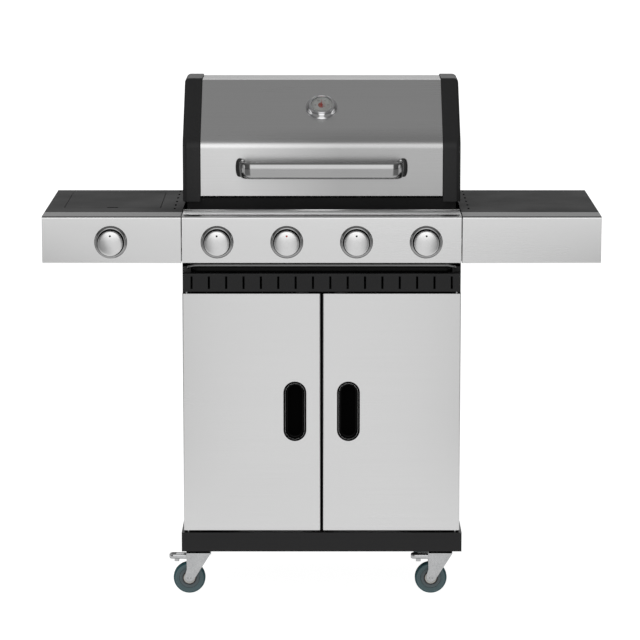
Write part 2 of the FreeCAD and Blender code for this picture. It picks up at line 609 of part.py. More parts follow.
# ---------------------------------------------------------------- handle
handle = body_of("hood_handle")
foot_z = "top + skin_lift + handle_up"
add_box(handle, ("-handle_half", "hood_front - handle_out", f"{foot_z} - handle_tall / 2"),
        ("2 * handle_half", "handle_out - foot_thick", "handle_tall"))
rounded(handle, "handle_turn", lambda edge, whole: lies_on(edge, whole, "y-") and edge.BoundBox.ZLength > 1,
        "OuterBends")
hollowed(handle, ["y+", "z-", "z+"], "handle_thick")
for name, level in (("RoundLow", "z-"), ("RoundHigh", "z+")):
    rounded(handle, "handle_thick * 0.45", lambda edge, whole: lies_on(edge, whole, level)
            and not lies_on(edge, whole, "y+"), name)
keep(handle)

ferrules = []
for side in SIDES.values():
    ferrule = body_of("ferrule")
    add_box(ferrule, (f"{side} * foot_half - foot_wide / 2", "hood_front - foot_thick",
                      f"{foot_z} - foot_tall / 2"), ("foot_wide", "foot_thick", "foot_tall"))
    rounded(ferrule, "foot_wide * 0.48", lambda edge, whole: edge.BoundBox.YLength > 1, "Oval")
    ferrules.append(ferrule)
keep(group("handle_ferrules", ferrules))

# ---------------------------------------------------------------- thermometer, square to the hood's slope
def on_slope(item):
    item.Placement = Placement(Vector(), Rotation(Vector(1, 0, 0), sizes["slope_angle"]))
    place(item, ("0", "gauge_y", "gauge_z"))
    item.setExpression("Placement.Rotation.Angle", formula("slope_angle"))
    return item


def level(name, low, radius, tall):
    return solid("Cylinder", name, ("0", "0", low), Radius=radius, Height=tall)


case_solid = fuse("case_solid",
                  solid("Cone", "bell", ("0", "0", "0"), Radius1="gauge_radius",
                        Radius2="gauge_face + gauge_rim", Height="gauge_out * 0.6"),
                  solid("Cone", "collar", ("0", "0", "gauge_out * 0.6"), Radius1="gauge_face + gauge_rim",
                        Radius2="gauge_face", Height="gauge_out * 0.4"),
                  level("probe", "-probe_long", "probe_radius", "probe_long"))
keep(on_slope(cut("thermometer_case", case_solid,
                  level("case_well", "gauge_out - dial_sink", "dial_radius", "dial_sink + past"))))
keep(on_slope(group("thermometer_dial", [
    level("dial", "gauge_out - dial_sink", "dial_radius", "dial_thick")])))
keep(on_slope(group("thermometer_glass", [
    level("glass", "gauge_out - dial_thick * 1.5", "dial_radius", "dial_thick")])))
needle_low = "gauge_out - dial_sink + dial_thick + apart"
pointer = block("pointer", ("-needle_wide / 2", "-needle_tail", needle_low),
                ("needle_wide", "needle_long + needle_tail", "needle_thick"))
needle_boss = level("needle_boss", needle_low, "needle_hub", "2 * needle_thick")
keep(on_slope(fuse("thermometer_needle", needle_boss, pointer)))

# ---------------------------------------------------------------- doors
door_pins = []
for word, side in SIDES.items():
    outer_side = "x-" if side < 0 else "x+"
    door = pan("door_blank_" + word, (span(side, "door_gap / 2", "half"), "front", "door_low"),
               ("half - door_gap / 2", "door_thick", "door_tall"), "skin", ["y+"],
               [("y-", "x-"), ("y-", "x+")], "2 * skin")
    recess = "pull_wide - 2 * pull_rim"
    x_mid = f"{side} * (pull_in + door_gap / 2)"
    cut_box(door, (f"{x_mid} - ({recess}) / 2", "front - plate",
                   "door_low + pull_up - (pull_tall - pull_wide) / 2"),
            (recess, "3 * plate", "pull_tall - pull_wide"), "PullOpening")
    for end in (-1, 1):
        cut_rod(door, (x_mid, "front - plate", f"door_low + pull_up + {end} * (pull_tall - pull_wide) / 2"),
                "y", f"({recess}) / 2", "3 * plate", "PullEnd")
    for low in ("door_low - plate", "door_high - 2 * plate"):
        cut_rod(door, (f"{side} * (half - hinge_in)", "front + hinge_in", low), "z", "pin_radius + running",
                "3 * plate", "PinHole")
    door.Label = "door_" + word
    keep(door)
    for low in ("base_top", "rail_low - pin_long"):
        door_pins.append(rod("door_pin", (f"{side} * (half - hinge_in)", "front + hinge_in", low), "z",
                             "pin_radius", "pin_long"))

    def obround(name, wide, tall, y, deep):
        middle = block("middle", (f"{x_mid} - ({wide}) / 2", y,
                                  f"door_low + pull_up - ({tall} - ({wide})) / 2"),
                       (wide, deep, f"{tall} - ({wide})"))
        return fuse(name, middle,
                    *[rod("end", (x_mid, y, f"door_low + pull_up + {end} * ({tall} - ({wide})) / 2"), "y",
                          f"({wide}) / 2", deep) for end in (-1, 1)])

    cup_wide, cup_tall = recess + " - 2 * running", "pull_tall - 2 * pull_rim - 2 * running"
    keep(cut("pull_" + word,
             fuse("pull_solid", obround("rim", "pull_wide", "pull_tall", "front - pull_proud", "pull_proud"),
                  obround("cup", cup_wide, cup_tall, "front", "pull_deep")),
             obround("pull_well", cup_wide + " - 2 * pull_wall", cup_tall + " - 2 * pull_wall",
                     "front - pull_proud - past", "pull_deep + pull_proud + past - pull_wall")))

keep(group("door_magnets", [
    block("magnet", (span(side, "magnet_in", "magnet_in + magnet_wide"), "front + door_thick + apart",
                     "rail_low - magnet_tall"),
          ("magnet_wide", "side_front - door_thick - apart", "magnet_tall"))
    for side in SIDES.values()]))

# ---------------------------------------------------------------- drip tray
tray = body_of("drip_tray")
tray_front = "front + lip_in + lip_thick"
add_box(tray, ("-tray_half", tray_front, "tray_top - tray_tall"),
        ("2 * tray_half", "cart_deep - lip_in - lip_thick - tray_back", "tray_tall"))
hollowed(tray, ["z+"], "skin")
for side in SIDES.values():
    add_box(tray, (span(side, "tray_half", "tray_half + tray_rim"), "front + side_front + seam",
                   "tray_top - plate"),
            ("tray_rim", "cart_deep - side_front - 2 * tray_back", "plate"), "Rim")
add_box(tray, ("-lip_half", "front + lip_in", "tray_top + plate - lip_tall"),
        ("2 * lip_half", "lip_thick", "lip_tall"), "Lip")
keep(tray)

# ---------------------------------------------------------------- side burner
lid = pan("side_burner_lid", ("-lid_side - lid_wide / 2", "front + lid_front", "top - lid_skirt"),
          ("lid_wide", "lid_deep", "lid_skirt"), "skin", ["z-"])
cut_box(lid, ("-lid_side - notch_wide / 2", "front + lid_front - past", "top - lid_skirt - past"),
        ("notch_wide", "notch_deep + past", "lid_skirt + 2 * past"), "Notch")
cut_rod(lid, ("-lid_side - lid_wide / 2 - past", "lid_pin_y", "lid_pin_z"), "x",
        "lid_pin_radius + running", "lid_wide + 2 * past", "PinHoles")
keep(lid)

well = body_of("side_burner_well")
well_x, well_y = "-lid_side - lid_wide / 2 - lid_gap", "front + lid_front - lid_gap"
well_wide, well_run = "lid_wide + 2 * lid_gap", "lid_deep + 3 * lid_gap"
add_box(well, (f"{well_x} - skin", f"{well_y} - skin", "well_low"),
        (f"{well_wide} + 2 * skin", f"{well_run} + 2 * skin", "well_deep"))
hollowed(well, ["z+"], "skin")
add_box(well, (f"{well_x} - well_flange", f"{well_y} - well_flange", "top - plate - skin"),
        (f"{well_wide} + 2 * well_flange", f"{well_run} + 2 * well_flange", "skin"), "Flange")
cut_box(well, (well_x, well_y, "well_low + skin"), (well_wide, well_run, "well_deep"), "Mouth")
head_y = "front + lid_front + lid_deep / 2"
cut_rod(well, ("-side_knob", head_y, "well_low - plate"), "z", "throat_hole", "3 * plate", "ThroatHole")
keep(well)
venturi_start = "valve_end + tube_start"
head = fuse("head_solid",
            rod("head_disc", ("-side_knob", head_y, "well_low + skin"), "z", "head_radius",
                "head_tall - head_cap"),
            rod("head_cap", ("-side_knob", head_y, "well_low + skin + head_tall - head_cap"), "z",
                "head_radius - head_step", "head_cap"),
            rod("throat", ("-side_knob", head_y, "knob_high"), "z", "throat_radius",
                "well_low + skin - knob_high + past"),
            rod("venturi", ("-side_knob", venturi_start, "knob_high"), "y", "throat_radius",
                f"{head_y} - ({venturi_start}) + throat_radius"))
keep(cut("side_burner_head", head,
         rod("bore", ("-side_knob", f"{venturi_start} - past", "knob_high"), "y", "venturi_bore",
             "venturi_deep")))
stand_low = "well_low + skin + head_tall"
ring = cut("stand_ring", rod("ring_out", ("-side_knob", head_y, stand_low), "z", "ring_radius", "ring_wide"),
           rod("ring_in", ("-side_knob", head_y, f"{stand_low} - past"), "z", "ring_radius - ring_wide",
               "ring_wide + 2 * past"))
far, near = "-(ring_radius - ring_wide / 2)", "ring_radius - ring_wide / 2 - arm_long"
arms = [block("arm", ("-side_knob - ring_wide / 2", f"{head_y} + ({low})", stand_low),
              ("ring_wide", "arm_long", "stand_tall")) for low in (far, near)]
arms += [block("arm", (f"-side_knob + ({low})", f"{head_y} - ring_wide / 2", stand_low),
               ("arm_long", "ring_wide", "stand_tall")) for low in (far, near)]
legs = [("-ring_radius", "-leg_wide / 2"), ("ring_radius - leg_wide", "-leg_wide / 2"),
        ("-leg_wide / 2", "-ring_radius"), ("-leg_wide / 2", "ring_radius - leg_wide")]
feet = [block("foot", (f"-side_knob + ({x})", f"{head_y} + ({y})", "well_low + skin"),
              ("leg_wide", "leg_wide", "head_tall")) for x, y in legs]
keep(fuse("side_burner_stand", ring, *arms, *feet))

# ---------------------------------------------------------------- pins
lid_edge = "lid_wide / 2 + lid_gap"
lid_pins = [rod("lid_pin", (f"-lid_side + {span(side, lid_edge + ' - lid_pin_long', lid_edge)}",
                            "lid_pin_y", "lid_pin_z"), "x", "lid_pin_radius", "lid_pin_long")
            for side in SIDES.values()]
pin_near = "skin_half + hood_pin_in"
hood_pins = [rod("hood_pin", (span(side, pin_near, pin_near + " + hood_pin_long"), "pivot_y", "pivot_z"), "x",
                 "hood_pin_radius", "hood_pin_long")
             for side in SIDES.values()]
keep(group("hinge_pins", door_pins + lid_pins + hood_pins))

# ---------------------------------------------------------------- casters
caster_names = [(f"{row}_{word}", side, rear) for rear, row in enumerate(("front", "rear"))
                for word, side in SIDES.items()]
fork_wide = "tyre_wide + 2 * wheel_play + 2 * fork_thick"
plates = []
for name, side, rear in caster_names:
    x, y = f"{side} * caster_half", caster_y(rear)
    turned = rear and side < 0
    plates.append(cut("caster_plate",
                      fuse("plate_solid",
                           block("top_plate", (f"{x} - plate_wide / 2", f"{y} - plate_wide / 2",
                                               "caster_tall - plate"), ("plate_wide", "plate_wide", "plate")),
                           rod("race", (x, y, "caster_tall - plate - race_tall"), "z", "race_radius",
                               "race_tall"),
                           rod("king_pin", (x, y, "crown_top - crown_thick - king_out"), "z", "king_radius",
                               "crown_thick + king_out + apart"),
                           rod("king_head", (x, y, "crown_top - crown_thick - apart - king_head"), "z",
                               "king_radius + king_head", "king_head")),
                      *[rod("plate_hole", (f"{x} + {bx} * bolt_in", f"{y} + {by} * bolt_in",
                                           "caster_tall - plate"), "z", "bolt_radius", "plate")
                        for bx in (-1, 1) for by in (-1, 1)]))
    fork = body_of("fork_" + name)
    padded(fork, outline(fork, "XZ_Plane", [
        ("-race_radius", "crown_top"), ("race_radius", "crown_top"), ("race_radius", "crown_top - 12"),
        ("-trail + 11", "wheel_radius - 9"), ("-trail - 9", "wheel_radius - 9"),
        ("-trail - 9", "wheel_radius + 14"), ("-race_radius", "crown_top - 10")]),
        fork_wide)
    cut_box(fork, ("-2 * trail", "-tyre_wide / 2 - wheel_play", "0"),
            ("4 * trail", "tyre_wide + 2 * wheel_play", "crown_top - crown_thick"), "WheelSpace")
    cut_rod(fork, ("0", "0", "crown_top - 2 * crown_thick"), "z", "king_radius + running", "3 * crown_thick",
            "KingHole")
    feature(fork, "AdditiveCylinder", "Axle", ("-trail", f"-({fork_wide}) / 2 - axle_over", "wheel_radius"),
            AXES["y"], Radius="axle_radius", Height=f"{fork_wide} + 2 * axle_over")
    if not rear:
        feature(fork, "AdditiveCylinder", "PedalPin", ("-pedal_in", f"-({fork_wide}) / 2", "pedal_high"),
                AXES["y"], Radius="pedal_pin", Height=fork_wide)
    keep(place(fork, (x, y, "0"), Rotation(Vector(0, 0, 1), -90 if turned else 0)))
    if turned:
        spin, face = "x", (f"{x} - tyre_wide / 2", f"{y} + trail", "wheel_radius")
        beyond = (f"{x} - tyre_wide", f"{y} + trail", "wheel_radius")
    else:
        spin, face = "y", (f"{x} - trail", f"{y} - tyre_wide / 2", "wheel_radius")
        beyond = (f"{x} - trail", f"{y} - tyre_wide", "wheel_radius")
    tyre = cut("tyre", rod("tyre_out", face, spin, "wheel_radius", "tyre_wide"),
               rod("tyre_in", beyond, spin, "hub_radius", "2 * tyre_wide"))
    hub = cut("hub", rod("hub_out", face, spin, "hub_radius", "tyre_wide"),
              rod("hub_bore", beyond, spin, "axle_radius + running", "2 * tyre_wide"))
    keep(group("wheel_" + name, [tyre, hub]))
    if not rear:
        pedal_x, pedal_y = f"{x} - pedal_in - pedal_long", f"{y} - pedal_wide / 2"
        pedal = cut("pedal",
                    fuse("pedal_solid",
                         block("arm", (pedal_x, pedal_y, "pedal_high + pedal_up"),
                               ("pedal_long", "pedal_wide", "pedal_thick")),
                         *[block("skirt", (pedal_x, edge, "pedal_high + pedal_up - pedal_side"),
                                 ("pedal_long", "fork_thick", "pedal_side"))
                           for edge in (pedal_y, f"{y} + pedal_wide / 2 - fork_thick")],
                         block("tip", (pedal_x, pedal_y, "pedal_high + pedal_up"),
                               ("pedal_tip", "pedal_wide", "pedal_thick + pedal_pad")),
                         rod("hub", (f"{x} - pedal_in", pedal_y, "pedal_high"), "y", "pedal_hub",
                             "pedal_wide")),
                    rod("pedal_hole", (f"{x} - pedal_in", f"{pedal_y} - past", "pedal_high"), "y",
                        "pedal_pin + running", "pedal_wide + 2 * past"))
        keep(pedal)
        pedal.Label = "brake_pedal_" + name
keep(group("caster_plates", plates))

# ---------------------------------------------------------------- screws and bolts
bolts = [fuse("bolt", shank, bolt_head) for shank, bolt_head in zip(
    bolt_row("bolt_shank", "caster_tall - plate", "bolt_radius", "2 * plate + bolt_end"),
    bolt_row("bolt_top", "caster_tall - plate - head_thick", "bolt_head", "head_thick"))]
screws = [fuse("screw", shank, screw_head) for shank, screw_head in zip(
    screw_row("screw_shank", "front + cart_deep - screw_long", "bolt_radius", "screw_long"),
    screw_row("screw_head", "front + cart_deep", "bolt_head", "head_thick"))]
keep(group("fasteners", bolts + screws))

# ---------------------------------------------------------------- checks and files
doc.recompute()
failed = [f"{item.Label} of {[owner.Label for owner in item.InList]}" for item in doc.Objects
          if {"Invalid", "Error"} & set(item.State)]
if failed:
    raise RuntimeError("did not recompute: " + "; ".join(failed))
os.makedirs("parts", exist_ok=True)
for node in nodes:
    shape = node.Shape
    if shape.isNull() or not shape.isValid() or not shape.Solids:
        raise RuntimeError(f"{node.Label} has no sound shape")
    shape.exportStep(f"parts/{node.Label}.step")
print(len(nodes), "nodes")
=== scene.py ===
import bpy
import bmesh
import json
import math
from mathutils import Matrix, Vector

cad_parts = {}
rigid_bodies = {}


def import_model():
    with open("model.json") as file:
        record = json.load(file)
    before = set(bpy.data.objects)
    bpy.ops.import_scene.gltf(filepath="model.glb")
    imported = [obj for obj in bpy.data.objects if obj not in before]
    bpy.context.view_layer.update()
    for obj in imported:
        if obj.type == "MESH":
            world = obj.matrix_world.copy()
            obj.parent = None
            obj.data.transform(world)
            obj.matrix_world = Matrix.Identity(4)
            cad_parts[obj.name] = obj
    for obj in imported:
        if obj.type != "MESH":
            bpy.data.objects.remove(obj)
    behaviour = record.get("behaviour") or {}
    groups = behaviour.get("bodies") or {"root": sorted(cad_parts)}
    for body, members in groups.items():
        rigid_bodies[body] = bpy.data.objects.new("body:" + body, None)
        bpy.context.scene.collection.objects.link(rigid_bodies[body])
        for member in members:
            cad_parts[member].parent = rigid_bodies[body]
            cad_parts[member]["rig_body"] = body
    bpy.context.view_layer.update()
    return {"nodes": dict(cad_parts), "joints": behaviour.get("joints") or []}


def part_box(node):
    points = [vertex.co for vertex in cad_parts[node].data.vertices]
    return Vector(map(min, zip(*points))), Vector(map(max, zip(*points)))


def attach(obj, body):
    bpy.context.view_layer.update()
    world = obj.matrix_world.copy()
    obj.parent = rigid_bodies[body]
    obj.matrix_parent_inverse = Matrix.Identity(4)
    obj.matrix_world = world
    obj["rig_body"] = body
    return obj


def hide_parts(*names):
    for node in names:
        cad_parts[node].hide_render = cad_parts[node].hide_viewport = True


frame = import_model()
nodes = frame["nodes"]
jointPlace = {joint["name"]: Vector(joint["pos_m"]) for joint in frame["joints"] if "pos_m" in joint}
scene = bpy.context.scene
mm = 0.001  # sizes are written in millimetres and used in metres
print("frame loaded:", len(nodes), "CAD nodes")

# view, floor and light
viewSetup = {"away": 7.04, "height": 1.888, "side": -0.0038, "pitch": 9.879, "lens": 174.935, "sensor": 36}
studio = {
    "bare": 0.97,  # how white the floor itself is
    "floorSize": 90, "floorGlow": 0.74, "floorTone": 0.32, "floorNear": 1.4, "floorFar": 2.6,
    "front": 0.9, "box": 1.1, "boxLow": 5, "boxHigh": 31, "boxFade": 0.12,  # edges in degrees
    "backLow": 0.62, "backHigh": 1.7, "backStart": 0.24, "backEnd": 0.5,
    "overhead": 0.37, "ceilingFade": 0.22, "sideStart": -0.1, "sideEnd": 0.3,
    "sun": 1.1, "sunSpread": 25, "sunTilt": 38, "sunTurn": -40,
    "sides": ((0, 1), (0.2, 1), (0.36, 0.12), (0.92, 0.08), (0.96, 1), (1, 0.7)),  # place and level
}


def makeCamera(s):
    data = bpy.data.cameras.new("camera")
    data.sensor_width = s["sensor"]
    data.lens = s["lens"]
    data.clip_end = 200
    camera = bpy.data.objects.new("camera", data)
    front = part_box("control_panel")[0].y
    camera.location = (s["side"], front - s["away"], s["height"])
    camera.rotation_euler = (math.radians(90 - s["pitch"]), 0, 0)
    scene.collection.objects.link(camera)
    scene.camera = camera


def blendNode(tree, mode, first, second):
    node = tree.nodes.new("ShaderNodeMath")
    node.operation = mode
    for socket, value in zip(node.inputs, (first, second)):
        if isinstance(value, (int, float)):
            socket.default_value = value
        else:
            tree.links.new(value, socket)
    return node.outputs[0]


def times(tree, first, second):
    return blendNode(tree, "MULTIPLY", first, second)


def rest(tree, value):
    return blendNode(tree, "SUBTRACT", 1, value)


def sideways(tree, across, s):
    # how bright the studio is from straight ahead, 0, round to the side, 1
    node = tree.nodes.new("ShaderNodeValToRGB")
    tree.links.new(blendNode(tree, "ABSOLUTE", across, 0), node.inputs[0])
    stops = node.color_ramp.elements
    while len(stops) > 1:
        stops.remove(stops[-1])
    for k, (place, level) in enumerate(s["sides"]):
        stop = stops[0] if k == 0 else stops.new(place)
        stop.position = place
        stop.color = (level, level, level, 1)
    return node.outputs[0]


def seenWhite(tree, level, white):
    # the bare floor and wall stay white, and only light and reflections find the studio's shades
    direct = tree.nodes.new("ShaderNodeLightPath").outputs["Is Camera Ray"]
    return blendNode(tree, "ADD", times(tree, level, rest(tree, direct)), times(tree, direct, white))


def makeFloor(s):
    bpy.ops.mesh.primitive_plane_add(size=s["floorSize"])
    floor = bpy.context.active_object
    floor.name = "floor"
    paper = plainMaterial("floorPaper", (s["floorTone"],) * 3, 0.0, 0.9)
    tree = paper.node_tree
    glow = tree.nodes["Principled BSDF"]
    glow.inputs["Specular IOR Level"].default_value = 0
    glow.inputs["Emission Color"].default_value = (1, 1, 1, 1)
    place = tree.nodes.new("ShaderNodeTexCoord").outputs["Object"]
    split = tree.nodes.new("ShaderNodeSeparateXYZ")
    tree.links.new(place, split.inputs[0])
    reach = tree.nodes.new("ShaderNodeVectorMath")
    reach.operation = "LENGTH"
    tree.links.new(place, reach.inputs[0])
    away = reach.outputs["Value"]
    shade = sideways(tree, blendNode(tree, "DIVIDE", split.outputs["X"], away), s)
    near = ranged(tree, away, 0, 1, s["floorNear"], s["floorFar"])
    level = rest(tree, times(tree, near, rest(tree, shade)))
    tree.links.new(seenWhite(tree, times(tree, level, s["floorGlow"]), s["bare"]), glow.inputs["Emission Strength"])
    floor.data.materials.append(paper)


def makeWalls(s):
    # a dark ceiling, dark sides, a pale wall behind and a long soft box of light high in front
    world = bpy.data.worlds.new("studio")
    world.use_nodes = True
    scene.world = world
    tree = world.node_tree
    tree.nodes.clear()
    coord = tree.nodes.new("ShaderNodeTexCoord")
    split = tree.nodes.new("ShaderNodeSeparateXYZ")
    back = tree.nodes.new("ShaderNodeBackground")
    out = tree.nodes.new("ShaderNodeOutputWorld")
    tree.links.new(coord.outputs["Generated"], split.inputs[0])
    up, ahead = split.outputs["Z"], times(tree, split.outputs["Y"], -1)
    low, high = (math.sin(math.radians(s[end])) for end in ("boxLow", "boxHigh"))
    roof = high + s["ceilingFade"]
    softBox = times(tree, ranged(tree, up, 0, s["box"], low - s["boxFade"], low), ranged(tree, up, 1, 0, high, roof))
    inFront = ranged(tree, ahead, 0, 1, s["sideStart"], s["sideEnd"])
    behind = ranged(tree, up, s["backLow"], s["backHigh"], s["backStart"], s["backEnd"])
    lit = times(tree, blendNode(tree, "ADD", softBox, s["front"]), inFront)
    level = blendNode(tree, "ADD", lit, times(tree, rest(tree, inFront), behind))
    level = times(tree, level, sideways(tree, split.outputs["X"], s))
    ceiling = ranged(tree, up, 0, 1, high, roof)
    total = blendNode(tree, "ADD", times(tree, level, rest(tree, ceiling)), times(tree, ceiling, s["overhead"]))
    tree.links.new(seenWhite(tree, total, 1), back.inputs["Strength"])
    tree.links.new(back.outputs[0], out.inputs["Surface"])


def makeStudio(s):
    makeFloor(s)
    makeWalls(s)
    sun = bpy.data.objects.new("softLight", bpy.data.lights.new("softLight", "SUN"))
    sun.data.energy = s["sun"]
    sun.data.angle = math.radians(s["sunSpread"])
    sun.rotation_euler = (math.radians(s["sunTilt"]), 0, math.radians(s["sunTurn"]))
    sun.visible_glossy = False
    scene.collection.objects.link(sun)
    scene.view_settings.view_transform = "Standard"


# materials
def plainMaterial(name, colour, metal, rough):
    material = bpy.data.materials.new(name)
    material.use_nodes = True
    shader = material.node_tree.nodes["Principled BSDF"]
    shader.inputs["Base Color"].default_value = (*colour, 1)
    shader.inputs["Metallic"].default_value = metal
    shader.inputs["Roughness"].default_value = rough
    return material


def noise(tree, source, stretch, detail):
    mapping = tree.nodes.new("ShaderNodeMapping")
    mapping.inputs["Scale"].default_value = stretch
    texture = tree.nodes.new("ShaderNodeTexNoise")
    texture.inputs["Scale"].default_value = 1
    texture.inputs["Detail"].default_value = detail
    tree.links.new(source, mapping.inputs[0])
    tree.links.new(mapping.outputs[0], texture.inputs["Vector"])
    return texture.outputs["Fac"]


def ranged(tree, value, low, high, start=0.3, end=0.7):
    node = tree.nodes.new("ShaderNodeMapRange")
    node.inputs["From Min"].default_value = start
    node.inputs["From Max"].default_value = end
    node.inputs["To Min"].default_value = low
    node.inputs["To Max"].default_value = high
    tree.links.new(value, node.inputs["Value"])
    return node.outputs[0]


def triple(value):
    return value if isinstance(value, tuple) else (value,) * 3


def surface(name, s):
    # grain, cloudy wear, roughness and bump over one base colour; sweep is a painted reflection that darkens one side
    # below a height
    material = plainMaterial(name, triple(s["colour"]), s.get("metal", 0), s["rough"])
    tree = material.node_tree
    shader = tree.nodes["Principled BSDF"]
    shader.inputs["Specular IOR Level"].default_value = s.get("shine", 0.5)
    coord = tree.nodes.new("ShaderNodeTexCoord").outputs[s.get("coord", "Object")]
    grain = noise(tree, coord, triple(s["grain"]), 5)
    cloud = noise(tree, coord, triple(s.get("cloud", 6)), 6)
    patch, spread = s.get("patch", 0.04), s["spread"]
    scale = blendNode(tree, "ADD", ranged(tree, grain, 1 - s["tone"], 1 + s["tone"]),
                      ranged(tree, cloud, -patch, patch))
    tint = tree.nodes.new("ShaderNodeVectorMath")
    tint.operation = "SCALE"
    tint.inputs[0].default_value = triple(s["colour"])
    # sweep: painted reflection, the colour darkens by up to depth towards +X below a height
    if "sweep" in s:
        split = tree.nodes.new("ShaderNodeSeparateXYZ")
        tree.links.new(coord, split.inputs[0])
        start, end, depth, under, over = s["sweep"]
        across = ranged(tree, split.outputs["X"], 0, depth, start, end)
        below = ranged(tree, split.outputs["Z"], 1, 0, under, over)
        scale = times(tree, scale, rest(tree, times(tree, across, below)))
    tree.links.new(scale, tint.inputs["Scale"])
    tree.links.new(tint.outputs[0], shader.inputs["Base Color"])
    rough = blendNode(tree, "ADD", ranged(tree, cloud, s["rough"] - spread, s["rough"] + spread),
                      ranged(tree, grain, -spread / 2, spread / 2))
    tree.links.new(rough, shader.inputs["Roughness"])
    bump = tree.nodes.new("ShaderNodeBump")
    bump.inputs["Strength"].default_value = s["bump"]
    bump.inputs["Distance"].default_value = s.get("relief", 0.0002)
    tree.links.new(grain, bump.inputs["Height"])
    tree.links.new(bump.outputs[0], shader.inputs["Normal"])
    return material


